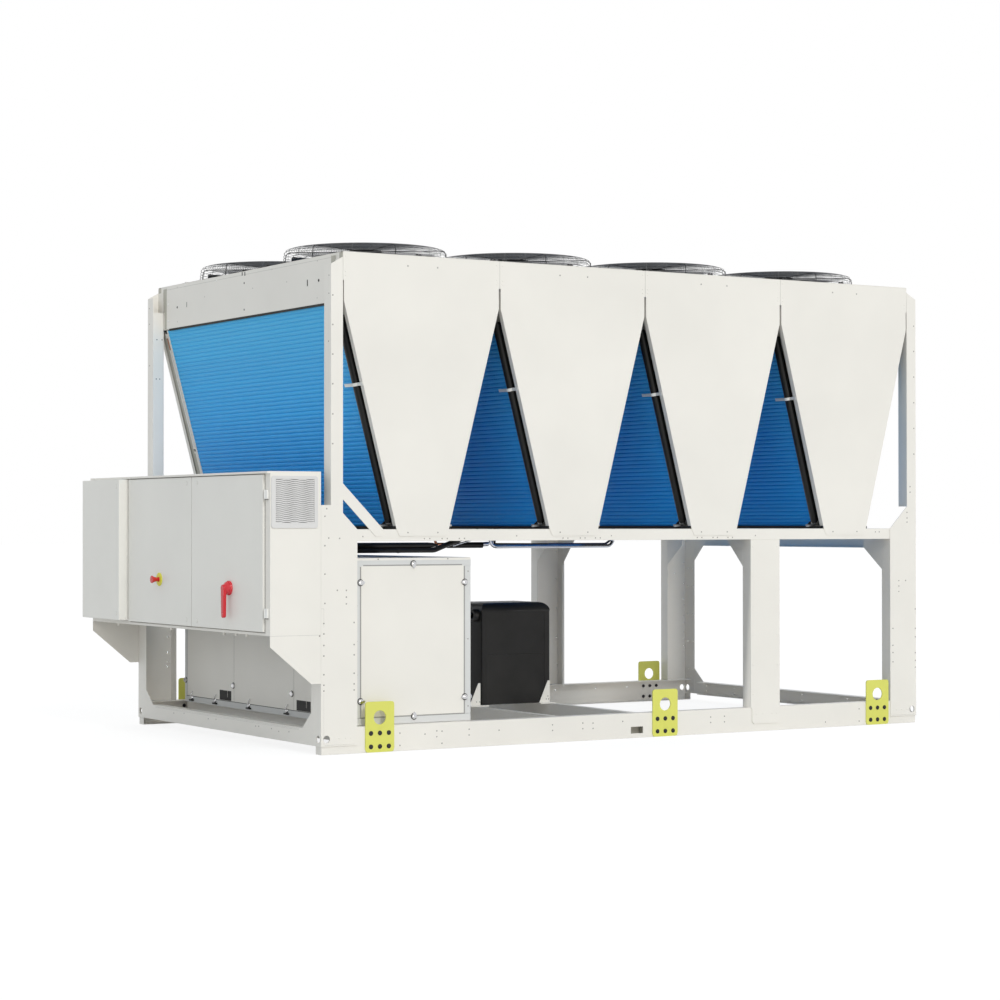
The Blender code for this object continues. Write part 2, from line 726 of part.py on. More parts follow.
def v_panels():
    """Side sheets of the V modules, with returns folded in along their slanted edges."""
    top = DECK_TOP - DECK_SHEET - GAP
    edge = PITCH / 2 - PANEL_SEAM
    slit = PITCH / 2 - SLIT_HALF_WIDTH
    foot = PANEL_FOOT_HALF_WIDTH
    slit_top = APEX_HEIGHT + SLIT_HEIGHT
    half = [
        (foot - PANEL_SKIRT_INSET, DECK_RAIL_TOP - PANEL_SKIRT),
        (foot, DECK_RAIL_TOP),
        (slit, APEX_HEIGHT),
        (slit, slit_top),
        (edge, slit_top - GAP),
        (edge, top),
    ]
    low = DECK_RAIL_TOP + TRAY_HEIGHT + GAP * 3
    low_edge = foot + (low - DECK_RAIL_TOP) * SLOPE
    outer = [(low_edge, low), (slit, APEX_HEIGHT), (slit, slit_top - PANEL_THICKNESS)]
    inset = PANEL_THICKNESS / 8
    folded = [(x - inset, z) for x, z in outer] + [(x - PANEL_THICKNESS, z) for x, z in reversed(outer)]
    for number in range(MODULES):
        centre = pitch_centre(number)
        outline = [(centre + x, z) for x, z in half] + [(centre - x, z) for x, z in reversed(half)]
        panel = prism(outline, "Y", SHEET_SIDE, SHEET_SIDE + PANEL_THICKNESS)
        for sign in (-1, 1):
            fold = [(centre + sign * x, z) for x, z in folded]
            fuse(panel, prism(fold, "Y", SHEET_SIDE + PANEL_THICKNESS / 2, SHEET_SIDE + PANEL_RETURN))
        panel = settled(panel)
        far = mirrored(panel)
        place(panel, f"v_panel_near_{number + 1}", PAINT)
        place(far, f"v_panel_far_{number + 1}", PAINT)


def coil_line(z, inset=0.0):
    """Distance from a module's centre plane to its coil's outer face, at a height."""
    return PANEL_FOOT_HALF_WIDTH - COIL_INSET - inset + SLOPE * (z - DECK_RAIL_TOP)


def v_coils():
    foot = DECK_RAIL_TOP + GAP
    floor = foot + TRAY_WALL
    head = APEX_HEIGHT - GAP
    flat_thickness = COIL_THICKNESS * math.hypot(1, SLOPE)
    end = HALF_WIDTH - COIL_END
    tray_reach = HALF_WIDTH - PANEL_THICKNESS - GAP
    for number in range(MODULES):
        centre = pitch_centre(number)
        tray = prism(
            [
                (centre - TRAY_HALF_WIDTH, foot),
                (centre + TRAY_HALF_WIDTH, foot),
                (centre + TRAY_HALF_WIDTH, foot + TRAY_HEIGHT),
                (centre + TRAY_HALF_WIDTH - TRAY_WALL, foot + TRAY_HEIGHT),
                (centre + TRAY_HALF_WIDTH - TRAY_WALL, floor),
                (centre - TRAY_HALF_WIDTH + TRAY_WALL, floor),
                (centre - TRAY_HALF_WIDTH + TRAY_WALL, foot + TRAY_HEIGHT),
                (centre - TRAY_HALF_WIDTH, foot + TRAY_HEIGHT),
            ],
            "Y",
            -tray_reach,
            tray_reach,
        )
        sunk = floor - TRAY_WALL / 2
        shapes = []
        for sign in (-1, 1):
            slab = [
                (centre + sign * coil_line(sunk), sunk),
                (centre + sign * coil_line(head), head),
                (centre + sign * (coil_line(head) - flat_thickness), head),
                (centre + sign * (coil_line(sunk) - flat_thickness), sunk),
            ]
            shapes.append(prism(slab, "Y", -end, end))
            header_low, header_high = floor + 0.03, head - 0.06
            side = -end - HEADER_RADIUS * 0.7
            shapes.append(
                rod(
                    (centre + sign * coil_line(header_low, HEADER_DEPTH), side, header_low),
                    (centre + sign * coil_line(header_high, HEADER_DEPTH), side, header_high),
                    HEADER_RADIUS,
                    10,
                )
            )
        for sign in (-1, 1):
            shield = [
                (centre - coil_line(sunk) + 0.004, sunk),
                (centre + coil_line(sunk) - 0.004, sunk),
                (centre + coil_line(head - 0.002) - 0.004, head - 0.002),
                (centre - coil_line(head - 0.002) + 0.004, head - 0.002),
            ]
            inner, outer = sorted((sign * (end - 0.001), sign * (end + COIL_END_PLATE)))
            shapes.append(prism(shield, "Y", inner, outer))
        fuse(tray, *shapes)
        place(tray, f"v_coil_{number + 1}", COIL_BLUE)


def guard_ring(radius, height):
    """A ring of square wire about the local Z axis, its flats at this radius."""
    half = GUARD_WIRE / 2
    flats = math.cos(math.pi / GUARD_SEGMENTS)
    shape = bmesh.new()
    loops = []
    for step in range(GUARD_SEGMENTS):
        angle = 2 * math.pi * (step + 0.5) / GUARD_SEGMENTS
        way = Vector((math.cos(angle), math.sin(angle), 0))
        loop = []
        for out, up in ((-half, -half), (half, -half), (half, half), (-half, half)):
            corner = way * ((radius + out) / flats) + Vector((0, 0, height + up))
            loop.append(shape.verts.new(corner))
        loops.append(loop)
    for first, second in zip(loops, loops[1:] + loops[:1]):
        for corner in range(4):
            after = (corner + 1) % 4
            shape.faces.new((first[corner], first[after], second[after], second[corner]))
    return mesh_object("ring", shape)


def guard_spoke(angle):
    """A wire from the deck up the guard's side, over its shoulder and in to the eye."""
    outer = GUARD_RADIUS + GUARD_WIRE / 2
    inner = outer - GUARD_WIRE
    chamfer = GUARD_SHOULDER * 0.6
    foot = DECK_TOP - DECK_SHEET / 2
    under = GUARD_TOP - GUARD_WIRE
    slack = GUARD_WIRE * math.tan(math.pi / 8)
    outline = [
        (outer, foot),
        (outer, GUARD_TOP - chamfer),
        (outer - chamfer, GUARD_TOP),
        (GUARD_EYE_RADIUS - GUARD_WIRE, GUARD_TOP),
        (GUARD_EYE_RADIUS - GUARD_WIRE, under),
        (outer - chamfer - slack, under),
        (inner, GUARD_TOP - chamfer - slack),
        (inner, foot),
    ]
    spoke = prism(outline, "Y", -GUARD_WIRE / 2, GUARD_WIRE / 2)
    spoke.data.transform(Matrix.Rotation(angle, 4, "Z"))
    return spoke


def fan_guard():
    """The wire guard of one fan about the local Z axis, with the motor's stub under its eye."""
    low = GUARD_TOP - GUARD_WIRE
    side_height = DECK_TOP + GUARD_HEIGHT * GUARD_SIDE_RING_SHARE
    rings = [guard_ring(GUARD_RADIUS - GUARD_WIRE / 4, side_height)]
    rings.append(guard_ring(GUARD_TOP_RING_RADIUS, low))
    eye = rod(
        (0, 0, low - GUARD_WIRE / 3),
        (0, 0, low + GUARD_WIRE * 2 / 3),
        GUARD_EYE_RADIUS,
        GUARD_SEGMENTS,
        math.pi / GUARD_SEGMENTS,
    )
    stub = rod((0, 0, ROTOR_TOP + GAP), (0, 0, low), MOTOR_STUB_RADIUS, 12)
    spokes = [guard_spoke(2 * math.pi * step / GUARD_SPOKES) for step in range(GUARD_SPOKES)]
    return settled(fuse(eye, stub, *rings, *spokes)).data


def fan_decks():
    guard = fan_guard()
    half_length = PITCH / 2 - PANEL_SEAM
    wall_bottom = APEX_HEIGHT + GAP
    wall_reach = HALF_WIDTH - FASCIA_MARGIN
    for number in range(MODULES):
        middle = pitch_centre(number)
        deck = box(
            (middle - half_length, -HALF_WIDTH, DECK_TOP - DECK_SHEET),
            (middle + half_length, HALF_WIDTH, DECK_TOP),
        )
        walls = []
        for sign in (-1, 1):
            inner, outer = sorted((sign * half_length, sign * (half_length - PLENUM_WALL)))
            walls.append(
                box(
                    (middle + inner, -wall_reach, wall_bottom),
                    (middle + outer, wall_reach, DECK_TOP - DECK_SHEET / 2),
                )
            )
        fuse(deck, *walls)
        for sign in (-1, 1):
            centre = Vector((middle, sign * (HALF_WIDTH - FAN_FROM_SIDE), 0))
            cut(
                deck,
                rod(
                    centre + Vector((0, 0, DECK_TOP - 0.02)),
                    centre + Vector((0, 0, DECK_TOP + 0.02)),
                    FAN_OPENING_RADIUS,
                    FAN_OPENING_SIDES,
                    math.pi / FAN_OPENING_SIDES,
                ),
            )
            cage = bpy.data.objects.new("cage", guard.copy())
            cage.location = centre
            fuse(deck, cage)
        place(deck, f"fan_deck_{number + 1}", PAINT)


def rotor_mesh():
    """Hub and swept blades about the local Z axis, lofted from hub to tip."""
    hub = rod((0, 0, ROTOR_BOTTOM), (0, 0, ROTOR_TOP), ROTOR_HUB_RADIUS, 16)
    middle = (ROTOR_BOTTOM + ROTOR_TOP) / 2
    stations = 4
    blades = []
    for blade in range(ROTOR_BLADES):
        shape = bmesh.new()
        loops = []
        for station in range(stations):
            share = station / (stations - 1)
            radius = ROTOR_HUB_RADIUS * 0.9 + (ROTOR_RADIUS - ROTOR_HUB_RADIUS * 0.9) * share
            chord = BLADE_HUB_CHORD + (BLADE_TIP_CHORD - BLADE_HUB_CHORD) * share
            pitch = BLADE_HUB_PITCH + (BLADE_TIP_PITCH - BLADE_HUB_PITCH) * share
            lead = 2 * math.pi * blade / ROTOR_BLADES + BLADE_SWEEP * share * share
            loop = []
            for along, up in ((-0.5, -0.5), (0.5, -0.5), (0.5, 0.5), (-0.5, 0.5)):
                arc = along * chord * math.cos(pitch) / radius
                rise = along * chord * math.sin(pitch) + up * BLADE_THICKNESS
                angle = lead + arc
                loop.append(
                    shape.verts.new((radius * math.cos(angle), radius * math.sin(angle), middle + rise))
                )
            loops.append(loop)
        for first, second in zip(loops, loops[1:]):
            for corner in range(4):
                after = (corner + 1) % 4
                shape.faces.new((first[corner], first[after], second[after], second[corner]))
        shape.faces.new(loops[0])
        shape.faces.new(loops[-1])
        blades.append(mesh_object("blade", shape))
    return settled(fuse(hub, *blades)).data


def fan_rotors():
    mesh = rotor_mesh()
    for number in range(MODULES):
        for sign, side in ((-1, "near"), (1, "far")):
            rotor = bpy.data.objects.new("rotor", mesh.copy())
            place(rotor, f"fan_rotor_{side}_{number + 1}", BLACK)
            rotor.location = (pitch_centre(number), sign * (HALF_WIDTH - FAN_FROM_SIDE), 0)


def side_bracket(sign):
    """Plate under one side of the cabinet that ties it to the corner post."""
    outline = [
        (CABINET_FRONT, CABINET_BOTTOM + 0.02),
        (CABINET_FRONT, CABINET_BOTTOM - BRACKET_NOSE_DROP),
        (BRACKET_FOOT, BRACKET_BOTTOM),
        (-GAP, BRACKET_BOTTOM),
        (-GAP, CABINET_BOTTOM + 0.02),
    ]
    low, high = sorted((sign * HALF_WIDTH, sign * (HALF_WIDTH - BRACKET_PLATE)))
    return prism(outline, "Y", low, high)


def cabinet_bay(start, end, mouth_start, mouth_end):
    """Cuts for one bay of the cabinet: the mouth in its front sheet and the room behind it."""
    seat = DOOR_FRONT + DOOR_THICKNESS + GAP
    mouth = box(
        (CABINET_FRONT - 0.01, mouth_start + DOOR_LIP, DOOR_BOTTOM + DOOR_LIP),
        (seat + CABINET_WALL + 0.001, mouth_end - DOOR_LIP, DOOR_TOP - DOOR_LIP),
    )
    room = box(
        (seat + CABINET_WALL, start, CABINET_BOTTOM + CABINET_WALL),
        (-GAP - CABINET_WALL, end, CABINET_TOP - CABINET_WALL),
    )
    return mouth, room


def side_grille():
    """Slots of the intake grille in the cabinet's near side."""
    pitch = (GRILLE_TOP - GRILLE_BOTTOM) / GRILLE_SLOTS
    slots = []
    for row in range(GRILLE_SLOTS):
        low = GRILLE_BOTTOM + pitch * (row + (1 - GRILLE_OPEN_SHARE) / 2)
        slots.append(
            box(
                (GRILLE_START, -HALF_WIDTH - CABINET_WALL, low),
                (GRILLE_END, -HALF_WIDTH + CABINET_WALL * 2, low + pitch * GRILLE_OPEN_SHARE),
            )
        )
    return slots


def cabinet_body():
    """Open-fronted case with a wall between its two bays, hung on two side brackets."""
    body = box((CABINET_FRONT, -HALF_WIDTH, CABINET_BOTTOM), (-GAP, HALF_WIDTH, CABINET_TOP))
    bay_wall = from_side(DOOR_1_END)
    door_side = bay_wall - CABINET_WALL
    rebate = box(
        (CABINET_FRONT - 0.01, from_side(DOOR_2_START) - DOOR_CLEARANCE, DOOR_BOTTOM - DOOR_CLEARANCE),
        (DOOR_FRONT + DOOR_THICKNESS + GAP, door_side, DOOR_TOP + DOOR_CLEARANCE),
    )
    inside = HALF_WIDTH - CABINET_WALL
    cut(
        body,
        rebate,
        *cabinet_bay(-inside, door_side, from_side(DOOR_2_START), door_side),
        *cabinet_bay(bay_wall, inside, bay_wall, inside),
    )
    fuse(body, side_bracket(-1), side_bracket(1))
    cut(body, *side_grille())
    place(body, "cabinet_body", PAINT)


def hollow_door(start, end):
    """A folded sheet door: open at its back, with a rim all round."""
    door = box((DOOR_FRONT, start, DOOR_BOTTOM), (DOOR_FRONT + DOOR_THICKNESS, end, DOOR_TOP))
    hollow = box(
        (DOOR_FRONT + CABINET_WALL, start + DOOR_RIM, DOOR_BOTTOM + DOOR_RIM),
        (DOOR_FRONT + DOOR_THICKNESS + 0.01, end - DOOR_RIM, DOOR_TOP - DOOR_RIM),
    )
    return cut(door, hollow)


def hinge_empty(name, place_xyz):
    empty = bpy.data.objects.new(name, None)
    empty.location = place_xyz
    empty.parent = ORIGIN
    MACHINE.objects.link(empty)
    return empty


def on_hinge(obj, empty, name, material):
    """Places a shape that was modelled in machine coordinates under the empty on its joint's axis."""
    place(obj, name, material, empty)
    obj.location = -Vector(empty.location)


def doors():
    half_seam = DOOR_CLEARANCE / 2
    door_2_end = from_side(DOOR_SEAM) - half_seam
    door_1_start = from_side(DOOR_SEAM) + half_seam
    door_1_end = from_side(DOOR_1_END) - CABINET_WALL - DOOR_CLEARANCE
    base_front = DOOR_FRONT - SWITCH_BASE_DEPTH
    switch = Vector((0, from_side(SWITCH_FROM_SIDE), SWITCH_HEIGHT))
    stop = Vector((0, from_side(STOP_FROM_SIDE), STOP_HEIGHT))

    def along_x(start, end, radius, centre, sides=16):
        return rod((start, centre.y, centre.z), (end, centre.y, centre.z), radius, sides)

    door_2 = hollow_door(from_side(DOOR_2_START), door_2_end)
    fuse(door_2, along_x(base_front, DOOR_FRONT + 0.001, SWITCH_BASE_RADIUS, switch))
    hinge_2 = hinge_empty("door_2_hinge", (DOOR_FRONT, from_side(DOOR_2_START), DOOR_BOTTOM))
    on_hinge(settled(door_2), hinge_2, "cabinet_door_2", PAINT)

    door_1 = hollow_door(door_1_start, door_1_end)
    fuse(
        door_1,
        along_x(DOOR_FRONT - STOP_COLLAR_DEPTH, DOOR_FRONT + 0.001, STOP_COLLAR_RADIUS, stop),
        along_x(
            DOOR_FRONT - STOP_BOSS_DEPTH, DOOR_FRONT + CABINET_WALL / 2, STOP_BOSS_RADIUS, stop
        ),
    )
    cut(
        door_1,
        along_x(
            DOOR_FRONT - STOP_BOSS_DEPTH - 0.01,
            DOOR_FRONT + DOOR_THICKNESS,
            STOP_STEM_RADIUS + GAP,
            stop,
        ),
    )
    hinge_1 = hinge_empty("door_1_hinge", (DOOR_FRONT, door_1_end, DOOR_BOTTOM))
    on_hinge(settled(door_1), hinge_1, "cabinet_door_1", PAINT)

    lever_front = DOOR_FRONT - SWITCH_REACH
    handle = along_x(lever_front, base_front - GAP, SWITCH_HUB_RADIUS, switch)
    lever = box(
        (lever_front + 0.002, switch.y - SWITCH_LEVER_WIDTH / 2, SWITCH_HEIGHT - SWITCH_LEVER_LENGTH),
        (lever_front + 0.018, switch.y + SWITCH_LEVER_WIDTH / 2, SWITCH_HEIGHT),
    )
    place(fuse(handle, lever), "main_switch_handle", RED)

    head_front = DOOR_FRONT - STOP_REACH
    button = along_x(head_front, head_front + STOP_HEAD_DEPTH, STOP_HEAD_RADIUS, stop)
    stem_end = DOOR_FRONT - STOP_BOSS_DEPTH + STOP_STEM_BITE
    fuse(button, along_x(head_front + 0.003, stem_end, STOP_STEM_RADIUS, stop))
    place(button, "emergency_stop_button", RED)


def cover():
    """The deeper lid over the third bay, hinged on its far edge."""
    back = CABINET_FRONT - GAP
    start = from_side(DOOR_1_END) + DOOR_CLEARANCE
    lid = box((COVER_FRONT, start, DOOR_BOTTOM + DOOR_CLEARANCE), (back, HALF_WIDTH, DOOR_TOP + 0.002))
    hollow = box(
        (COVER_FRONT + COVER_WALL, start + COVER_WALL * 4, DOOR_BOTTOM + COVER_WALL * 4 + DOOR_CLEARANCE),
        (back + 0.01, HALF_WIDTH - COVER_WALL * 4, DOOR_TOP + 0.002 - COVER_WALL * 4),
    )
    cut(lid, hollow)
    hinge = hinge_empty("cover_hinge", (back, HALF_WIDTH, DOOR_BOTTOM))
    on_hinge(settled(lid), hinge, "cabinet_cover", PAINT)


def compressor_housing():
    """Closed housing on two skids, with the joints of its panels as grooves."""
    near, far = from_side(HOUSING_NEAR), from_side(HOUSING_FAR)
    housing = box((HOUSING_START, near, HOUSING_BOTTOM), (HOUSING_END, far, HOUSING_TOP))
    reach = -RAIL_SIDE - RAIL_FLANGE - GAP
    inset = SKID_WIDTH
    for start in (HOUSING_START + inset, HOUSING_END - inset - SKID_WIDTH):
        skid = box((start, -reach, SKID_BOTTOM), (start + SKID_WIDTH, reach, HOUSING_BOTTOM - GAP))
        top = box(
            (start + 0.002, near + 0.02, SKID_BOTTOM + 0.002),
            (start + SKID_WIDTH - 0.002, far - 0.02, HOUSING_BOTTOM + 0.002),
        )
        fuse(housing, skid, top)
    groove = HOUSING_GROOVE
    low_x, high_x = HOUSING_START + HOUSING_PROFILE, HOUSING_END - HOUSING_PROFILE
    low_z, high_z = HOUSING_BOTTOM + HOUSING_PROFILE, HOUSING_TOP - HOUSING_PROFILE
    for face in (near, far):
        low_y, high_y = face - groove, face + groove
        cut(
            housing,
            box((low_x, low_y, low_z), (low_x + groove, high_y, high_z)),
            box((high_x - groove, low_y, low_z), (high_x, high_y, high_z)),
            box((low_x + groove / 2, low_y, low_z), (high_x - groove / 2, high_y, low_z + groove)),
            box((low_x + groove / 2, low_y, high_z - groove), (high_x - groove / 2, high_y, high_z)),
        )
    for face in (HOUSING_START, HOUSING_END):
        for seam in HOUSING_SEAMS:
            middle = from_side(seam)
            cut(
                housing,
                box(
                    (face - groove, middle - groove / 2, low_z),
                    (face + groove, middle + groove / 2, high_z),
                ),
            )
    place(housing, "compressor_housing", FRAME_GREY)


def evaporator():
    near = from_side(EVAPORATOR_NEAR)
    body = box(
        (EVAPORATOR_START, near, RAIL_HEIGHT + PLATE + GAP),
        (EVAPORATOR_END, near + EVAPORATOR_DEPTH, EVAPORATOR_TOP),
    )
    rounding = body.modifiers.new("rounding", "BEVEL")
    rounding.width = EVAPORATOR_ROUND
    rounding.segments = 3
    rounding.limit_method = "NONE"
    place(body, "evaporator", FOAM)


def bend(points, radius, steps=4):
    """The points of a route with each inner corner turned into an arc."""
    route = [Vector(points[0])]
    for before, corner, after in zip(points, points[1:], points[2:]):
        before, corner, after = Vector(before), Vector(corner), Vector(after)
        first = (before - corner).normalized()
        second = (after - corner).normalized()
        half_angle = first.angle(second) / 2
        reach = radius / math.tan(half_angle)
        centre = corner + (first + second).normalized() * (radius / math.sin(half_angle))
        start = corner + first * reach - centre
        end = corner + second * reach - centre
        for step in range(steps + 1):
            route.append(centre + start.slerp(end, step / steps) * radius)
    route.append(Vector(points[-1]))
    return route


def pipes():
    """The pair of insulated pipes over the housing, and the bare pipe under the trays."""
    tray_under = DECK_RAIL_TOP
    suction_y = from_side(SUCTION_FROM_SIDE)
    climb = tray_under - GAP - SUCTION_RADIUS * math.cos(SUCTION_CLIMB) - SUCTION_HEIGHT
    end_x = SUCTION_TURN + climb / math.tan(SUCTION_CLIMB)
    route = bend(
        [
            (SUCTION_START, suction_y, SUCTION_HEIGHT),
            (SUCTION_TURN, suction_y, SUCTION_HEIGHT),
            (end_x, suction_y, SUCTION_HEIGHT + climb),
        ],
        SUCTION_BEND,
    )
    suction = tube(route, SUCTION_RADIUS)
    second_height = SUCTION_HEIGHT + SECOND_PIPE_RISE
    second = tube(
        [(SUCTION_START, suction_y, second_height), (SECOND_PIPE_END, suction_y, second_height)],
        SUCTION_RADIUS,
    )
    stubs = [
        rod((x, suction_y, HOUSING_TOP + GAP), (x, suction_y, SUCTION_HEIGHT), SUCTION_RADIUS * 0.9, 12)
        for x in SUCTION_STUBS
    ]
    place(fuse(suction, second, *stubs), "suction_pipe", FOAM)
    liquid_y = from_side(LIQUID_FROM_SIDE)
    liquid = bend(
        [
            (LIQUID_START, liquid_y, tray_under),
            (LIQUID_START, liquid_y, LIQUID_HEIGHT),
            (LIQUID_END, liquid_y, LIQUID_HEIGHT),
            (LIQUID_END, liquid_y, tray_under),
        ],
        LIQUID_BEND,
    )
    place(tube(liquid, LIQUID_RADIUS), "liquid_pipe", COPPER_GREY)


def lugs():
    """Lifting plates on the base rails, each with a round eye."""
    outer = -HALF_WIDTH + PLATE - LUG_THICKNESS
    half = LUG_WIDTH / 2
    for number, middle in enumerate(LUG_PLACES, 1):
        outline = [
            (middle - half, 0),
            (middle + half, 0),
            (middle + half, LUG_HEIGHT - LUG_ROUND),
            (middle + half - LUG_ROUND, LUG_HEIGHT),
            (middle - half + LUG_ROUND, LUG_HEIGHT),
            (middle - half, LUG_HEIGHT - LUG_ROUND),
        ]
        lug = prism(outline, "Y", outer, outer + LUG_THICKNESS)
        eye = rod(
            (middle, outer - 0.01, LUG_HOLE_HEIGHT),
            (middle, outer + LUG_THICKNESS + 0.01, LUG_HOLE_HEIGHT),
            LUG_HOLE_RADIUS,
            16,
        )
        lug = settled(cut(lug, eye))
        far = mirrored(lug)
        place(lug, f"lifting_lug_near_{number}", YELLOW)
        place(far, f"lifting_lug_far_{number}", YELLOW)


def main():
    base_rails()
    base_ends()
    cross_members()
    front_posts()
    rear_posts()
    mid_posts()
    mid_deck_beam()
    deck_rails()
    fascias()
    v_panels()
    v_coils()
    fan_decks()
    fan_rotors()
    cabinet_body()
    doors()
    cover()
    compressor_housing()
    evaporator()
    pipes()
    lugs()


main()
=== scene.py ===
"""Looks of the air-cooled water chiller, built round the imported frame.

Machine coordinates in this script: x from the frame's cabinet end plane, y from the near long side,
z from the ground. at() turns them into the row frame.
"""

import json
import math

import bmesh
import bpy
from mathutils import Matrix, Vector


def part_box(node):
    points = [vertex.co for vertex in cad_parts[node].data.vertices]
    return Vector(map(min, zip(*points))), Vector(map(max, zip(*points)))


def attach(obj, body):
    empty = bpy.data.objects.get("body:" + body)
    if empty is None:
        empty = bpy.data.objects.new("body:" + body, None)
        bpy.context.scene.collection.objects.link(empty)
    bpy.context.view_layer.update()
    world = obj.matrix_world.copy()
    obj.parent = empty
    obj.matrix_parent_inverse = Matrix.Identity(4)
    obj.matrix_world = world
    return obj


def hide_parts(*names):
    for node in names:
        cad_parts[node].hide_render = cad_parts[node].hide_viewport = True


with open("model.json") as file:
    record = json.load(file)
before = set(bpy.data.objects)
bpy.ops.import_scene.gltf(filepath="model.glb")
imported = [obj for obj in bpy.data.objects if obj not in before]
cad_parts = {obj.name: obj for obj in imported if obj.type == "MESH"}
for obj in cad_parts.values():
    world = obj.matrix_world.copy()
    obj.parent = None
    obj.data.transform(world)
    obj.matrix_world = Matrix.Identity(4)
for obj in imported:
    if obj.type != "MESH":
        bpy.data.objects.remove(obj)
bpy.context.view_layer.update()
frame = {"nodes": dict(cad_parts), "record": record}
NODES = frame["nodes"]
RECORD = frame["record"]

# Sizes read from the frame
POST_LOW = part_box("front_post_near")[0]
X0, Y0 = POST_LOW.x, POST_LOW.y
WIDTH = -2 * Y0
PANEL_LOW, PANEL_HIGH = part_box("v_panel_near_1")
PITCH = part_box("v_panel_near_2")[0].x - PANEL_LOW.x
FIRST = (PANEL_LOW.x + PANEL_HIGH.x) / 2 - PITCH / 2 - X0
MODULES = 4
FASCIAS = ((FIRST - 0.0023, -1), (FIRST + PITCH * MODULES + 0.0023, 1))
DECK_RAIL_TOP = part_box("deck_rail_near")[1].z
DECK_RAIL_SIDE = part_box("deck_rail_near")[0].y
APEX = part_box("fascia_front")[0].z - 0.0045
DECK_TOP = PANEL_HIGH.z + 0.0033
GUARD_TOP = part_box("fan_deck_1")[1].z
ROTOR_LOW, ROTOR_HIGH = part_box("fan_rotor_near_1")
RAIL_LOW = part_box("base_rail_near")[0]
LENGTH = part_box("rear_post_near")[1].x - X0
FOOT_HALF = 0.150
COIL_END = 0.100
SLAB_END = WIDTH / 2 - COIL_END - 0.004
SLOPE = (PITCH / 2 - FOOT_HALF) / (APEX - DECK_RAIL_TOP)
FAN_SIDE = 0.600
SIDES = ((-1, "near"), (1, "far"))
UP = (0, 0, 1)
BODY_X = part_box("cabinet_body")[0].x
DOOR_X = BODY_X - 0.012


def at(x, y, z):
    return Vector((X0 + x, Y0 + y, z))


def side(x, sign, out, z):
    """A point over a long side: out is the distance beyond its sheets."""
    return Vector((X0 + x, sign * (WIDTH / 2 + out), z))


def module_x(number):
    return X0 + FIRST + PITCH * (number - 0.5)


# Camera, lamps and floor
WORLD_STRENGTH = 0.84
KEY_STRENGTH = 0.88
FILL_STRENGTH = 0.45
FLOOR_BOUNCE = 0.62


def mesh_of(shape, name):
    mesh = bpy.data.meshes.new(name)
    shape.to_mesh(mesh)
    shape.free()
    return mesh


def camera():
    yaw, pitch, roll = math.radians(58.419), math.radians(0.566), math.radians(-0.025)
    ahead = Vector((math.cos(yaw) * math.cos(pitch), math.sin(yaw) * math.cos(pitch), math.sin(pitch)))
    right = Vector((math.sin(yaw), -math.cos(yaw), 0))
    up = right.cross(ahead)
    right, up = (
        right * math.cos(roll) + up * math.sin(roll),
        -right * math.sin(roll) + up * math.cos(roll),
    )
    data = bpy.data.cameras.new("camera")
    data.sensor_fit = "HORIZONTAL"
    data.sensor_width = 36.0
    data.lens = 88.455
    data.clip_end = 300
    made = bpy.data.objects.new("camera", data)
    turn = Matrix((right, up, -ahead)).transposed().to_4x4()
    made.matrix_world = Matrix.Translation(at(-5.5111, -10.6248, 1.1216)) @ turn
    bpy.context.scene.collection.objects.link(made)
    bpy.context.scene.camera = made


def sun(name, strength, angle, direction, colour):
    data = bpy.data.lights.new(name, "SUN")
    data.energy = strength
    data.angle = math.radians(angle)
    data.color = colour
    made = bpy.data.objects.new(name, data)
    made.rotation_euler = Vector(direction).to_track_quat("-Z", "Y").to_euler()
    bpy.context.scene.collection.objects.link(made)


def fill(tree, made, sockets):
    """Links each socket for which an output is given, and sets the others."""
    for name, value in sockets.items():
        if isinstance(value, bpy.types.NodeSocket):
            tree.links.new(value, made.inputs[name])
        else:
            made.inputs[name].default_value = value


def node(tree, kind, sockets=None, **settings):
    made = tree.nodes.new(kind)
    for name, value in settings.items():
        setattr(made, name, value)
    fill(tree, made, sockets or {})
    return made


def seen_rays(tree):
    """1 for camera, glossy and transmission rays, 0 for the light that reaches the object."""
    path = node(tree, "ShaderNodeLightPath").outputs
    first = node(tree, "ShaderNodeMath", {0: path["Is Camera Ray"], 1: path["Is Glossy Ray"]}, operation="MAXIMUM")
    last = node(tree, "ShaderNodeMath", {0: first.outputs[0], 1: path["Is Transmission Ray"]}, operation="MAXIMUM")
    return last.outputs[0]


def studio_world():
    world = bpy.data.worlds.new("studio")
    bpy.context.scene.world = world
    world.use_nodes = True
    tree = world.node_tree
    tree.nodes.clear()
    split = node(tree, "ShaderNodeSeparateXYZ", {0: node(tree, "ShaderNodeTexCoord").outputs["Generated"]})
    turn = node(tree, "ShaderNodeMapRange", {"From Min": -1, "From Max": 1, "Value": split.outputs["X"]})
    ramp = node(tree, "ShaderNodeValToRGB", {"Fac": turn.outputs["Result"]})
    ramp.color_ramp.elements[0].color = (0.90, 0.955, 1.0, 1)
    ramp.color_ramp.elements[1].color = (0.96, 0.97, 0.98, 1)
    lit = node(tree, "ShaderNodeBackground", {"Color": ramp.outputs["Color"], "Strength": WORLD_STRENGTH})
    seen = node(tree, "ShaderNodeBackground", {"Color": (1, 1, 1, 1), "Strength": 1.0})
    mix = node(tree, "ShaderNodeMixShader", {"Fac": seen_rays(tree), 1: lit.outputs[0], 2: seen.outputs[0]})
    node(tree, "ShaderNodeOutputWorld", {"Surface": mix.outputs[0]})


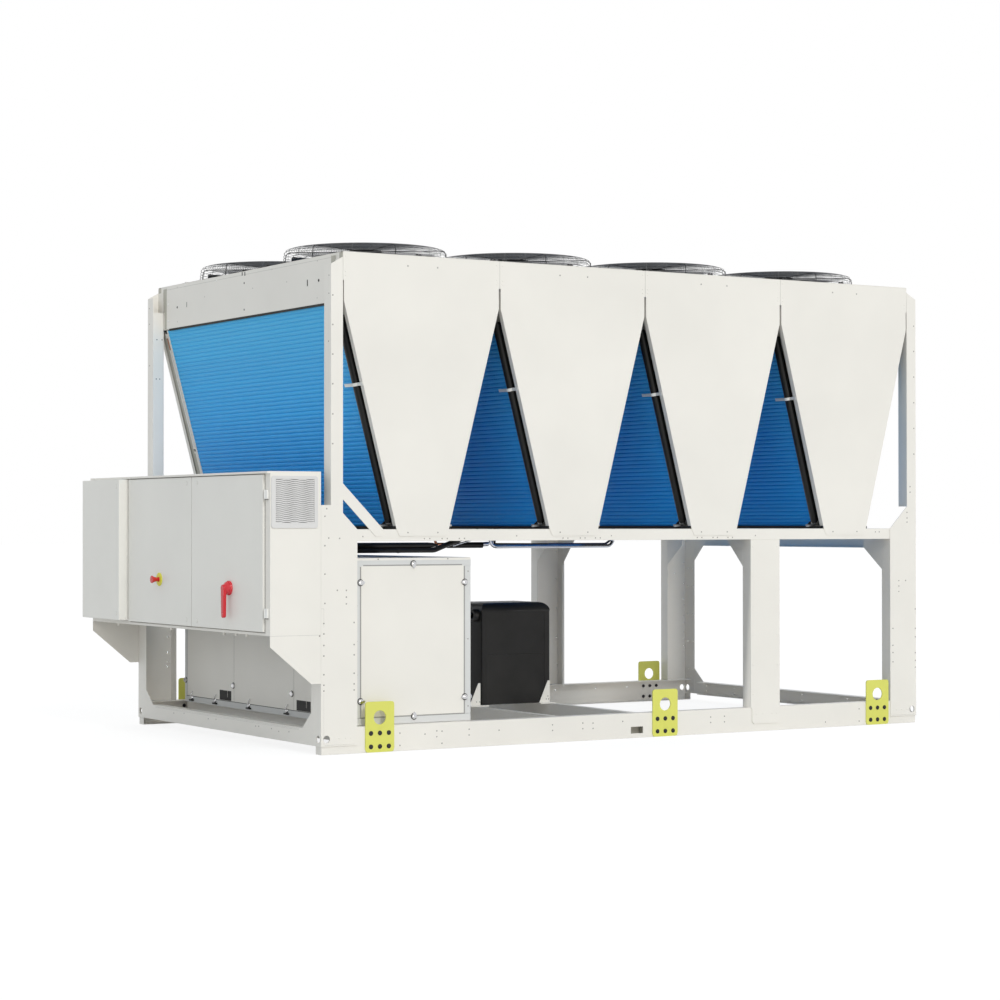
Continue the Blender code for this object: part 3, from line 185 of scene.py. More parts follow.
def studio_floor():
    shape = bmesh.new()
    bmesh.ops.create_circle(shape, cap_ends=True, radius=120, segments=96)
    floor = bpy.data.objects.new("floor", mesh_of(shape, "floor"))
    floor.location = (0, 0, -0.002)
    bpy.context.scene.collection.objects.link(floor)
    made = bpy.data.materials.new("pale_floor")
    made.use_nodes = True
    tree = made.node_tree
    tree.nodes.clear()
    paint = node(tree, "ShaderNodeBsdfDiffuse", {"Color": (0.93, 0.93, 0.92, 1)})
    glow = node(tree, "ShaderNodeEmission", {"Color": (1, 1, 1, 1), "Strength": 1.07})
    bounce = node(tree, "ShaderNodeBsdfDiffuse", {"Color": (FLOOR_BOUNCE, FLOOR_BOUNCE, FLOOR_BOUNCE * 0.985, 1)})
    seen = node(tree, "ShaderNodeMixShader", {"Fac": 0.8, 1: paint.outputs[0], 2: glow.outputs[0]})
    pick = node(tree, "ShaderNodeMixShader", {"Fac": seen_rays(tree), 1: bounce.outputs[0], 2: seen.outputs[0]})
    node(tree, "ShaderNodeOutputMaterial", {"Surface": pick.outputs[0]})
    floor.data.materials.append(made)


def studio():
    view = bpy.context.scene.view_settings
    view.view_transform = "Standard"
    view.look = "None"
    studio_world()
    sun("key_light", KEY_STRENGTH, 12, (0.07, 0.80, -0.60), (0.95, 0.99, 1.0))
    sun("fill_light", FILL_STRENGTH, 9, (0.07, 0.995, -0.055), (1.0, 0.92, 0.82))
    studio_floor()


# Materials
def begin(name):
    """A material with its tree, shader and object coordinates."""
    made = bpy.data.materials.new(name)
    made.use_nodes = True
    tree = made.node_tree
    return made, tree, tree.nodes["Principled BSDF"], node(tree, "ShaderNodeTexCoord").outputs["Object"]


def add_noise(tree, coords, scale, detail=3.0, rough=0.5):
    sockets = {"Scale": scale, "Detail": detail, "Roughness": rough, "Vector": coords}
    return node(tree, "ShaderNodeTexNoise", sockets).outputs["Fac"]


def remap(tree, value, low, high, from_low=0.3, from_high=0.7):
    sockets = {"From Min": from_low, "From Max": from_high, "To Min": low, "To Max": high, "Value": value}
    return node(tree, "ShaderNodeMapRange", sockets).outputs["Result"]


def tinted(tree, value, dark, light):
    ramp = node(tree, "ShaderNodeValToRGB", {"Fac": value})
    for stop, position, colour in zip(ramp.color_ramp.elements, (0.3, 0.7), (dark, light)):
        stop.position, stop.color = position, (*colour, 1)
    return ramp.outputs["Color"]


def stretched(tree, coords, scale):
    return node(tree, "ShaderNodeMapping", {"Scale": scale, "Vector": coords}).outputs["Vector"]


def bumped(tree, shader, height, strength, distance, before=None):
    bump = node(tree, "ShaderNodeBump", {"Strength": strength, "Distance": distance, "Height": height})
    if before is not None:
        tree.links.new(before, bump.inputs["Normal"])
    tree.links.new(bump.outputs["Normal"], shader.inputs["Normal"])
    return bump.outputs["Normal"]


def coated(name, colour, rough=(0.38, 0.5), spread=0.025, peel=0.10, peel_scale=420.0, specular=0.35):
    """Powder coat or moulded plastic: slight cloudiness, uneven gloss and a fine peel."""
    made, tree, shader, coords = begin(name)
    dark, light = ([min(1.0, c * share) for c in colour] for share in (1 - spread, 1 + spread))
    fill(tree, shader, {
        "Base Color": tinted(tree, add_noise(tree, coords, 2.2, 4.0), dark, light),
        "Roughness": remap(tree, add_noise(tree, coords, 9.0, 2.0), *rough),
        "Specular IOR Level": specular,
    })
    bumped(tree, shader, add_noise(tree, coords, peel_scale, 2.0), peel, 0.0006)
    return made


def fin_material():
    """Blue epoxy fins: the finest corrugation runs up the face, with tone that drifts from tube to tube, and a painted
    highlight that turns the colour lighter and paler higher up.
    """
    made, tree, shader, coords = begin("blue_epoxy_fins")
    bands = add_noise(tree, stretched(tree, coords, (1.0, 0.35, 26.0)), 1.0, 2.0, 0.4)
    # Painted highlight: between 1.25 m and 2.15 m up, the blue shifts to a lighter, less saturated tone, standing in
    # for sky light on the upper fins.
    split = node(tree, "ShaderNodeSeparateXYZ", {0: coords})
    mix = node(tree, "ShaderNodeMix", data_type="RGBA")
    fill(tree, mix, {
        0: remap(tree, split.outputs["Z"], 0.0, 1.0, 1.25, 2.15),
        6: tinted(tree, bands, (0.012, 0.340, 0.87), (0.017, 0.375, 0.92)),
        7: tinted(tree, bands, (0.074, 0.480, 0.85), (0.084, 0.515, 0.89)),
    })
    fill(tree, shader, {"Base Color": mix.outputs[2], "Roughness": remap(tree, bands, 0.46, 0.54),
                        "Specular IOR Level": 0.22})
    wave = node(tree, "ShaderNodeTexWave", {"Scale": 230.0, "Vector": coords}, bands_direction="Y")
    bumped(tree, shader, wave.outputs["Fac"], 0.35, 0.0006)
    return made


def foam_material():
    made, tree, shader, coords = begin("black_foam")
    dark, light = (0.0085, 0.008, 0.0077), (0.0155, 0.0148, 0.014)
    fill(tree, shader, {
        "Base Color": tinted(tree, add_noise(tree, coords, 7.0, 5.0), dark, light),
        "Roughness": remap(tree, add_noise(tree, coords, 30.0), 0.30, 0.42),
        "Specular IOR Level": 0.28,
    })
    fine = bumped(tree, shader, add_noise(tree, coords, 700.0, 2.0), 0.25, 0.0005)
    bumped(tree, shader, add_noise(tree, coords, 12.0, 2.0), 0.12, 0.004, fine)
    return made


def metal_material(name, colour, rough, scale, brushed=(1, 1, 1)):
    made, tree, shader, coords = begin(name)
    grain = add_noise(tree, stretched(tree, coords, brushed), scale, 4.0, 0.6)
    fill(tree, shader, {
        "Base Color": tinted(tree, grain, [c * 0.86 for c in colour], colour),
        "Roughness": remap(tree, grain, rough * 0.8, rough * 1.25),
        "Metallic": 1.0,
    })
    bumped(tree, shader, grain, 0.08, 0.0004)
    return made


# Each look with its slot and its material
LOOKS = {
    "ivory": ("ivory_paint", coated("ivory_powder_coat", (0.81, 0.78, 0.725))),
    "door": ("ivory_paint", coated("ivory_door_coat", (0.805, 0.785, 0.735), (0.34, 0.44))),
    "grey": ("grey_paint", coated("grey_frame_profile", (0.655, 0.655, 0.645), (0.36, 0.48), 0.02)),
    "grille": ("ivory_paint", coated("grey_grille_plastic", (0.685, 0.672, 0.660), (0.42, 0.52), 0.015, 0.15)),
    "mat": ("black_insulation", coated("grey_filter_mat", (0.33, 0.32, 0.32), (0.8, 0.9), 0.15, 0.4, 300.0)),
    "fins": ("blue_fins", fin_material()),
    "foam": ("black_insulation", foam_material()),
    "black": ("black_plastic", coated("black_moulding", (0.016, 0.016, 0.017), (0.42, 0.55), 0.15, 0.3, 300.0)),
    "wire": ("black_plastic", coated("coated_wire", (0.105, 0.107, 0.112), (0.3, 0.42), 0.1, 0.1)),
    # Painted shade: ivory paint darkened to how it looks in shadow, for plates and pockets that sit in shade.
    "painted_shade_ivory": ("ivory_paint", coated("painted_shade_ivory_coat", (0.46, 0.445, 0.385), (0.45, 0.55), 0.04)),
    "yellow": ("yellow_paint", coated("lime_yellow_paint", (0.69, 0.69, 0.14), (0.4, 0.52), 0.03)),
    "red": ("red_plastic", coated("red_gloss_plastic", (0.60, 0.020, 0.032), (0.2, 0.3), 0.05, 0.03, specular=0.5)),
    "collar": ("yellow_paint", coated("yellow_collar", (0.70, 0.68, 0.06), (0.35, 0.45), 0.04)),
    "bolt": ("bare_tube", metal_material("black_oxide_bolt", (0.045, 0.045, 0.05), 0.42, 60.0)),
    "rivet": ("bare_tube", metal_material("zinc_rivet", (0.36, 0.35, 0.33), 0.45, 80.0)),
    "bright": ("bare_tube", metal_material("bright_rivet", (0.96, 0.96, 0.95), 0.12, 40.0)),
    "chrome": ("bare_tube", metal_material("chromed_latch", (0.66, 0.66, 0.67), 0.12, 30.0)),
    "navy": ("black_insulation", coated("dark_blue_tube", (0.012, 0.022, 0.075), (0.25, 0.35), 0.1, 0.05)),
    "zinc": ("bare_tube", metal_material("zinc_plated_steel", (0.62, 0.63, 0.64), 0.36, 18.0, (1, 1, 8))),
    "tube": ("bare_tube", metal_material("bare_steel_tube", (0.60, 0.63, 0.70), 0.24, 20.0, (0.3, 6, 6))),
    "copper": ("bare_tube", metal_material("copper_tube", (0.66, 0.27, 0.16), 0.34, 20.0, (1, 1, 8))),
    "seam": ("black_insulation", coated("dark_seam", (0.20, 0.195, 0.18), (0.6, 0.7), 0.05)),
    "mid_seam": ("grey_paint", coated("grey_seam", (0.33, 0.325, 0.31), (0.6, 0.7), 0.05)),
    "soft_seam": ("ivory_paint", coated("shadow_seam", (0.50, 0.485, 0.45), (0.6, 0.7), 0.05)),
    "gasket": ("black_insulation", coated("black_gasket", (0.012, 0.012, 0.012), (0.6, 0.7), 0.1)),
    "white": ("ivory_paint", coated("white_clip", (0.84, 0.83, 0.80), (0.35, 0.45), 0.02)),
}
NODE_LOOKS = {
    "ivory_paint": "ivory", "grey_paint": "grey", "blue_fins": "fins", "black_plastic": "black",
    "black_insulation": "foam", "bare_tube": "tube", "yellow_paint": "yellow", "red_plastic": "red",
}
BODY_OF = {node: body for body, nodes in RECORD["behaviour"]["bodies"].items() for node in nodes}


# Shape building
def place(along, u, v, w):
    """(y, z) along X, (x, z) along Y, (x, y) along Z."""
    return {"X": (w, u, v), "Y": (u, w, v), "Z": (u, v, w)}[along]


def polar(radius, angle, z=0.0):
    return Vector((radius * math.cos(angle), radius * math.sin(angle), z))


class Shape:
    """Collects simple solids into one mesh, in the row frame."""

    def __init__(self):
        self.points, self.faces = [], []

    def add(self, points, faces):
        base = len(self.points)
        self.points.extend(tuple(p) for p in points)
        self.faces.extend(tuple(base + i for i in f) for f in faces)
        return self

    def sweep(self, points, sides, closed=False, open_start=False):
        """Quads between sections of as many points each, with flat ends unless closed or open at the start."""
        count = len(points) // sides
        faces = []
        for i in range(count if closed else count - 1):
            a, b = i * sides, (i + 1) % count * sides
            faces += [(a + k, a + (k + 1) % sides, b + (k + 1) % sides, b + k) for k in range(sides)]
        if not closed and not open_start:
            faces.append(tuple(range(sides - 1, -1, -1)))
        if not closed:
            faces.append(tuple(range((count - 1) * sides, count * sides)))
        return self.add(points, faces)

    def prism(self, outline, along, start, end):
        return self.sweep([place(along, u, v, w) for w in (start, end) for u, v in outline], len(outline))

    def box(self, low, high):
        (a, b, c), (d, e, f) = low, high
        return self.prism([(a, b), (d, b), (d, e), (a, e)], "Z", c, f)

    def frame(self, outer, inner, along, start, end):
        """A flat ring between two outlines with as many points, thick along an axis."""
        sections = [((*o, start), (*i, start), (*i, end), (*o, end)) for o, i in zip(outer, inner)]
        return self.sweep([place(along, *p) for section in sections for p in section], 4, True)

    def lathe(self, centre, axis, profile, sides=24):
        """Turns (radius, height along the axis) points about an axis through centre."""
        turn = Vector(axis).normalized().to_track_quat("Z", "Y").to_matrix()
        centre = Vector(centre)
        points, faces, rings = [], [], []
        for radius, height in profile:
            count = sides if radius > 1e-7 else 1
            rings.append(range(len(points), len(points) + count))
            points += [centre + turn @ polar(radius, 2 * math.pi * i / sides, height) for i in range(count)]
        for one, two in zip(rings, rings[1:]):
            for i in range(sides):
                j = (i + 1) % sides
                if len(one) == 1:
                    faces.append((one[0], two[j], two[i]))
                elif len(two) == 1:
                    faces.append((one[i], one[j], two[0]))
                else:
                    faces.append((one[i], one[j], two[j], two[i]))
        return self.add(points, faces)

    def rod(self, start, end, radius, sides=12):
        start, end = Vector(start), Vector(end)
        length = (end - start).length
        return self.lathe(start, end - start, [(0, 0), (radius, 0), (radius, length), (0, length)], sides)

    def tube(self, path, radius, sides=8, closed=False):
        """A round wire or pipe along a path, with flat ends."""
        path = [Vector(p) for p in path]
        count = len(path)
        points, last = [], None
        for i, p in enumerate(path):
            after, before = (i + 1) % count, i - 1
            if not closed:
                after, before = min(i + 1, count - 1), max(i - 1, 0)
            way = (path[after] - path[before]).normalized()
            across = way.cross(Vector((0, 0, 1)))
            if across.length < 1e-3:
                across = way.cross(Vector((0, 1, 0)))
            across.normalize()
            if last is not None and across.dot(last) < 0:
                across = -across
            last = across
            over = across.cross(way).normalized()
            for k in range(sides):
                u, v, _ = polar(radius, 2 * math.pi * (k + 0.5) / sides)
                points.append(p + across * u + over * v)
        return self.sweep(points, sides, closed)

    def hexagon(self, centre, axis, across, height):
        """A hexagon bolt head on a washer."""
        radius = across / 2 / math.cos(math.pi / 6)
        self.lathe(centre, axis, [(0, 0), (radius * 1.22, 0), (radius * 1.22, height * 0.25), (0, height * 0.25)], 20)
        profile = [(0, 0), (radius, height * 0.2), (radius, height * 0.85), (radius * 0.85, height), (0, height)]
        return self.lathe(centre, axis, profile, 6)

    def dome(self, centre, axis, radius, height, sides=12):
        profile = [(0, 0), (radius, 0), (radius * 0.92, height * 0.5), (radius * 0.62, height * 0.86), (0, height)]
        return self.lathe(centre, axis, profile, sides)

    def piece(self, name, look, body="chiller", **finish):
        mesh = bpy.data.meshes.new(name)
        mesh.from_pydata(self.points, [], self.faces)
        shape = bmesh.new()
        shape.from_mesh(mesh)
        bmesh.ops.recalc_face_normals(shape, faces=shape.faces)
        shape.to_mesh(mesh)
        shape.free()
        return finished(mesh, name, look, body, **finish)


def finished(mesh, name, look, body, smooth=None, bevel=0.0, replaces=(), segments=2):
    """Turns a mesh into a piece that rides on a body, with its material and rounded edges."""
    made = bpy.data.objects.new(name, mesh)
    bpy.context.scene.collection.objects.link(made)
    slot, material = LOOKS[look]
    mesh.materials.clear()
    mesh.materials.append(material)
    if bevel:
        modifier = made.modifiers.new("edges", "BEVEL")
        modifier.width = bevel
        modifier.segments = segments
        modifier.limit_method = "ANGLE"
        modifier.angle_limit = math.radians(40)
        modifier.harden_normals = True
    if smooth is not None or bevel:
        mesh.polygons.foreach_set("use_smooth", [True] * len(mesh.polygons))
        mesh.set_sharp_from_angle(angle=math.radians(smooth or 35))
    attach(made, body)
    if replaces:
        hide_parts(*replaces)
    return made


def route(points, radius, steps=6):
    """A path with each inner corner turned into an arc."""
    made = [Vector(points[0])]
    for before, corner, after in zip(points, points[1:], points[2:]):
        before, corner, after = Vector(before), Vector(corner), Vector(after)
        first, second = (before - corner).normalized(), (after - corner).normalized()
        half = first.angle(second) / 2
        reach = radius / math.tan(half)
        centre = corner + (first + second).normalized() * (radius / math.sin(half))
        start, end = corner + first * reach - centre, corner + second * reach - centre
        for i in range(steps + 1):
            made.append(centre + start.slerp(end, i / steps) * radius)
    made.append(Vector(points[-1]))
    return made


def rounded(low_u, low_v, high_u, high_v, radius, steps):
    """Outline of a rectangle with round corners."""
    corners = [(high_u - radius, high_v - radius, 0), (low_u + radius, high_v - radius, 90),
               (low_u + radius, low_v + radius, 180), (high_u - radius, low_v + radius, 270)]
    turns = [(u, v, polar(radius, math.radians(a + 90 * i / steps))) for u, v, a in corners for i in range(steps + 1)]
    return [(u + turn.x, v + turn.y) for u, v, turn in turns]


# CAD nodes that stay, and those whose edges are rounded
def dress_nodes():
    paints = {part["node"]: part["material_slot"] for part in RECORD["subparts"]}
    for name, made in NODES.items():
        made.data.materials.clear()
        made.data.materials.append(LOOKS[NODE_LOOKS[paints[name]]][1])


def soften(name, width=0.0009, look="ivory", keep=None):
    """Stands for a CAD node with the same faces and small rounded edges; keep drops what stands on it."""
    mesh = NODES[name].data.copy()
    shape = bmesh.new()
    shape.from_mesh(mesh)
    if keep is not None:
        bmesh.ops.delete(shape, geom=[v for v in shape.verts if not keep(v.co)], context="VERTS")
    bmesh.ops.remove_doubles(shape, verts=shape.verts, dist=2e-6)
    bmesh.ops.dissolve_limit(shape, angle_limit=math.radians(0.4), verts=shape.verts, edges=shape.edges)
    shape.to_mesh(mesh)
    shape.free()
    return finished(mesh, f"{name}_skin", look, BODY_OF[name], 35, width, (name,))


def sheet_metal():
    names = [f"{kind}_{name}" for kind in ("base_rail", "deck_rail", "front_post", "rear_post", "mid_post")
             for _, name in SIDES]
    names += ["end_sill_front", "end_sill_rear", "deck_beam_front", "deck_beam_rear",
              "cross_member_1", "cross_member_2", "fascia_front", "fascia_rear", "cabinet_body"]
    names += [f"v_panel_{name}_{number}" for _, name in SIDES for number in range(1, MODULES + 1)]
    for name in names:
        soften(name)
    for name in ("cabinet_door_1", "cabinet_door_2"):
        soften(name, 0.0014, "door", lambda point: point.x > DOOR_X - 0.0005)


# Fans
def fan_centre(number, sign):
    return Vector((module_x(number), sign * (WIDTH / 2 - FAN_SIDE), 0))


def fan_guard(number, sign, name):
    """The wire basket: rings up its side, round its shoulder and over its top, on radial wires."""
    centre = fan_centre(number, sign)
    wire, outer, shoulder, lean, hub = 0.0013, 0.429, 0.026, 0.006, 0.086
    top = GUARD_TOP - wire
    foot, bend = DECK_TOP + 0.003, top - shoulder
    inner = outer - lean - shoulder
    shape, ribs, plate, feet = Shape(), Shape(), Shape(), Shape()

    def wall(z):
        return outer - lean * (z - foot) / (bend - foot), z

    def ring(radius, height, thick=0.0010):
        shape.tube([centre + polar(radius, 2 * math.pi * i / 72, height) for i in range(72)], thick, 5, True)

    profile = [wall(z) for z in (foot, (foot + bend) / 2, bend)]
    for i in range(1, 6):
        turn = polar(shoulder, math.radians(90 * i / 5))
        profile.append((inner + turn.x, bend + turn.y * 0.97))
    profile += [(r, top) for r in (inner * 0.66, inner * 0.33, hub - 0.001)]
    for i in range(4):
        ring(*wall(foot + 0.001 + (bend - foot) * i / 3.6), wire * (0.8 if i else 1.6))
    for i in (1, 3, 5):
        ring(*profile[2 + i])
    count = 24
    for i in range(1, count):
        ring(inner + (hub + 0.002 - inner) * i / count, top)
    ring(hub, top - 0.0009, wire * 1.6)
    for i in range(count):
        thick = wire * (1.9 if i % 4 == 1 else 0.75)
        angle = 2 * math.pi * (i + 0.5) / count
        path = [centre + polar(r - 2 * wire, angle, z - 0.4 * wire - thick) for r, z in profile]
        (ribs if i % 4 == 1 else shape).tube(path, thick, 5)
    shape.piece(f"fan_guard_{name}_{number}", "wire", smooth=60)
    ribs.piece(f"guard_ribs_{name}_{number}", "black", smooth=60)
    plate.lathe(centre, UP, [(0, top), (0.080, top), (0.088, top - 0.002), (0.088, top - 0.004), (0, top - 0.004)], 48)
    low, high = ROTOR_HIGH.z + 0.001, top - 0.003
    plate.lathe(centre, UP, [(0, low), (0.052, low), (0.056, low + 0.002), (0.056, high), (0, high)], 32)
    for i in range(6):
        plate.dome(centre + polar(0.07, 2 * math.pi * (i + 0.5) / 6, top - 0.0006), UP, 0.005, 0.0018)
    plate.piece(f"motor_plate_{name}_{number}", "black", smooth=40)
    for i in range(8):
        spot = centre + polar(outer, 2 * math.pi * (i + 0.5) / 8, DECK_TOP)
        feet.lathe(spot, UP, [(0, 0), (0.011, 0), (0.011, 0.004), (0.007, 0.007), (0, 0.008)], 14)
    feet.piece(f"guard_feet_{name}_{number}", "black", smooth=50)


def deck_clips():
    """Black clips on the edges of the deck, at the joints and middles of the modules."""
    shape, pale = Shape(), Shape()
    for sign, _ in SIDES:
        for number in range(1, MODULES + 1):
            middle = module_x(number) - X0
            spots = [middle - 0.018]
            spots += [middle - PITCH / 2 + 0.034] if number > 1 else []
            spots += [middle + PITCH / 2 - 0.034] if number < MODULES else []
            for x in spots:
                for dx in (-0.009, 0.008):
                    shape.lathe(side(x + dx, sign, -0.010, DECK_TOP - 0.0004), UP,
                                [(0, 0), (0.0062, 0), (0.0062, 0.0075), (0.004, 0.0105), (0, 0.0115)], 10)
                shape.box(side(x - 0.017, sign, -0.0035, DECK_TOP - 0.0002),
                          side(x + 0.016, sign, -0.0165, DECK_TOP + 0.0032))
    for node_name, plane, turn in (("fascia_front", FIRST, 1), ("fascia_rear", FIRST + PITCH * MODULES, -1)):
        top = max(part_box(node_name)[1].z, DECK_TOP) - 0.0002
        for y, wide in ((0.8488, 0.024), (1.1005, 0.017), (1.1260, 0.017)):
            low = at(plane - turn * 0.002, y - wide / 2, top)
            shape.box(low, low + Vector((turn * 0.018, wide, 0.0085)))
        low = at(plane - turn * 0.002, 1.841, top)
        pale.box(low, low + Vector((turn * 0.014, 0.024, 0.0050)))
    shape.piece("deck_clips", "black", bevel=0.0008)
    pale.piece("deck_clip_pale", "white", bevel=0.0008)


def fan_sheet(shape, middle, half, sign, radius, z):
    """Half of a deck's sheet, at one height: a rectangle round a fan's opening."""
    size = 64
    cy = fan_centre(1, sign).y
    low_y, high_y = sorted((0.0, sign * WIDTH / 2))
    ring, rim = [], []
    for i in range(size):
        turn = polar(1, 2 * math.pi * i / size)
        reaches = [half / abs(turn.x)] if abs(turn.x) > 1e-9 else []
        if abs(turn.y) > 1e-9:
            reaches.append(((high_y if turn.y > 0 else low_y) - cy) / turn.y)
        reach = min(reaches)
        ring.append((middle + radius * turn.x, cy + radius * turn.y, z))
        rim.append((middle + turn.x * reach, cy + turn.y * reach, z))
    corners = [(middle + a * half, b, z) for a, b in ((1, high_y), (-1, high_y), (-1, low_y), (1, low_y))]
    faces = [(i, (i + 1) % size, size + (i + 1) % size, size + i) for i in range(size)]
    for k, (x, y, _) in enumerate(corners):
        for i in range(size):
            p, q = rim[i], rim[(i + 1) % size]
            if max(abs(p[0] - x), abs(q[1] - y)) < 1e-6 or max(abs(p[1] - y), abs(q[0] - x)) < 1e-6:
                faces.append((size + i, size + (i + 1) % size, 2 * size + k))
    shape.add(ring + rim + corners, faces if z == DECK_TOP else [f[::-1] for f in faces])


def fan_deck(number):
    """Deck sheet with the two rolled fan rings, and the walls of the plenum under it."""
    middle = module_x(number)
    half, reach, radius = PITCH / 2 - 0.001, WIDTH / 2, 0.402
    low_z = DECK_TOP - 0.003
    shape, rings, screws = Shape(), Shape(), Shape()
    profile = [(radius, low_z - 0.030), (radius - 0.001, DECK_TOP - 0.002)]
    for a in range(0, 181, 30):
        turn = polar(0.007, math.radians(a))
        profile.append((radius + 0.006 - turn.x, DECK_TOP + 0.001 + turn.y))
    profile += [(radius + 0.012, DECK_TOP), (radius + 0.012, low_z), (radius + 0.002, low_z - 0.030),
                (radius, low_z - 0.030)]
    for sign, _ in SIDES:
        for z in (DECK_TOP, low_z):
            fan_sheet(shape, middle, half, sign, radius, z)
        shape.box((middle - half, sign * (reach - 0.0012), low_z), (middle + half, sign * reach, DECK_TOP))
        shape.box((middle + sign * half, -reach + 0.032, APEX + 0.0003),
                  (middle + sign * (half - 0.002), reach - 0.032, DECK_TOP - 0.001))
        rings.lathe((middle, sign * (reach - FAN_SIDE), 0), UP, profile, 72)
        for y in (0.045, 0.30, 0.60, 0.90, 1.08):
            for x in (-half + 0.014, half - 0.014):
                screws.dome((middle + x, sign * (reach - y), DECK_TOP), UP, 0.0045, 0.0018, 10)
    shape.piece(f"deck_sheet_{number}", "ivory", replaces=(f"fan_deck_{number}",))
    rings.piece(f"fan_rings_{number}", "ivory", smooth=40)
    screws.piece(f"deck_screws_{number}", "rivet", smooth=60)


def rotor(number, sign, name):
    """Hub with its motor cap, and swept blades with a raised nose and a thin tail."""
    centre = fan_centre(number, sign)
    low, high = ROTOR_LOW.z + 0.0005, ROTOR_HIGH.z - 0.0005
    blades, stations, chordwise = 5, 12, 8
    root, tip = 0.098, 0.3835
    shape = Shape()
    shape.lathe(centre, UP, [(0, low), (0.096, low), (0.104, low + 0.006), (0.104, high - 0.008), (0.096, high),
                             (0.062, high), (0.058, high - 0.004), (0, high - 0.004)], 48)
    shares = [c / chordwise for c in range(chordwise + 1)]
    section = [(t, 1) for t in shares] + [(t, -1) for t in shares[::-1]]
    for blade in range(blades):
        points = []
        for s in range(stations):
            share = s / (stations - 1)
            radius = root + (tip - root) * share
            chord = 0.070 + 0.070 * share
            pitch = math.radians(17 - 9.5 * share)
            lead = 2 * math.pi * (blade - 0.30 + 0.13 * number) / blades + math.radians(24) * share * share
            for t, surface in section:
                along = (t - 0.5) * chord
                thick = 0.0022 * math.sqrt(max(0.0, 4 * t * (1 - t))) * (1.15 - 0.6 * t) + 0.0004
                camber = 0.004 * (1 - (2 * t - 1) ** 2)
                rise = along * math.sin(pitch) + camber + surface * thick
                points.append(centre + polar(radius, lead + along * math.cos(pitch) / radius, low + 0.0105 + rise))
        shape.sweep(points, len(section), open_start=True)
    body = f"fan_rotor_{name}_{number}"
    return shape.piece(f"blades_{name}_{number}", "black", body, smooth=50, replaces=(body,))


# Coils
def coil_x(z, inset=0.0):
    """Distance from the module's centre plane to the outer face of its coil, at a height."""
    return FOOT_HALF - 0.006 - inset + SLOPE * (z - DECK_RAIL_TOP)


def coil_bar(shape, number, sign, heights, insets, ends):
    """A bar that follows a coil's slope, between two depths under its outer face and two ends along y."""
    (low, high), (near, deep) = heights, insets
    corners = ((low, near), (high, near), (high, deep), (low, deep))
    shape.prism([(module_x(number) + sign * coil_x(z, inset), z) for z, inset in corners], "Y", *ends)


def fins(number):
    """The two finned slabs of a module: level tubes show as ribs on both faces."""
    centre = module_x(number)
    foot, head = DECK_RAIL_TOP + 0.012, APEX - 0.0006
    ribs = 52
    step = (head - foot) / ribs
    rib = ((0.0, 0.0050), (0.16, 0.0013), (0.34, 0.0), (0.66, 0.0), (0.84, 0.0013))
    levels = [(foot + step * (i + share), sink) for i in range(ribs) for share, sink in rib] + [(head, 0.004)]
    shape = Shape()
    for sign in (-1, 1):
        points = []
        for z, sink in levels:
            outer, inner = centre + sign * (coil_x(z) - sink), centre + sign * (coil_x(z, 0.040) + sink)
            points += [(outer, -SLAB_END, z), (outer, SLAB_END, z), (inner, SLAB_END, z), (inner, -SLAB_END, z)]
        shape.sweep(points, 4)
    return shape.piece(f"fins_{number}", "fins", smooth=80, replaces=(f"v_coil_{number}",))


def coil_frames(number):
    """End channels of the slabs, the shields between them, and the drip tray."""
    centre = module_x(number)
    foot, head = DECK_RAIL_TOP + 0.0035, APEX - 0.001
    frames, shields, tray = Shape(), Shape(), Shape()
    for along in (-1, 1):
        outer_end = along * (SLAB_END + 0.003)
        wide = 0.010 if along > 0 else 0.004
        for sign in (-1, 1):
            for insets in ((-0.001, 0.0015), (0.0415, 0.0430)):
                coil_bar(frames, number, sign, (foot, head), insets, (along * (SLAB_END - wide), outer_end))
            coil_bar(frames, number, sign, (foot, head), (0, 0.043), (along * (SLAB_END + 0.001), outer_end))
        corners = ((-1, foot), (1, foot), (1, head), (-1, head))
        shields.prism([(centre + sign * coil_x(z, 0.045), z) for sign, z in corners], "Y",
                      along * (SLAB_END - 0.001), along * (SLAB_END + 0.001))
    frames.piece(f"coil_frames_{number}", "ivory")
    shields.piece(f"end_shields_{number}", "ivory")
    reach = WIDTH / 2 - 0.003
    floor = DECK_RAIL_TOP + 0.0004
    tray.box((centre - 0.16, -reach, floor), (centre + 0.16, reach, floor + 0.003))
    for sign in (-1, 1):
        tray.box((centre + sign * 0.16, -reach, floor), (centre + sign * 0.157, reach, DECK_RAIL_TOP + 0.0143))
    tray.piece(f"drip_tray_{number}", "gasket", bevel=0.0006)


def strap(shape, middle, way, out, side_way, radius):
    """A flat band bent round the open side of a pipe, with a leg on each end."""
    width, thick = 0.016, 0.0030
    path = [middle + side_way * -0.098 + out * (radius * 0.60)]
    for i in range(9):
        turn = polar(radius + thick, math.radians(-35 + 105 * i / 8))
        path.append(middle + out * turn.x + side_way * turn.y)
    path.append(middle + side_way * 0.078 + out * (radius * 0.42))
    half = way * (width / 2)
    points = []
    for i, p in enumerate(path):
        ahead = (path[min(i + 1, len(path) - 1)] - path[max(i - 1, 0)]).normalized()
        over = ahead.cross(way).normalized() * thick
        points += [p - half, p + half, p + half + over, p - half + over]
    shape.sweep(points, 4)


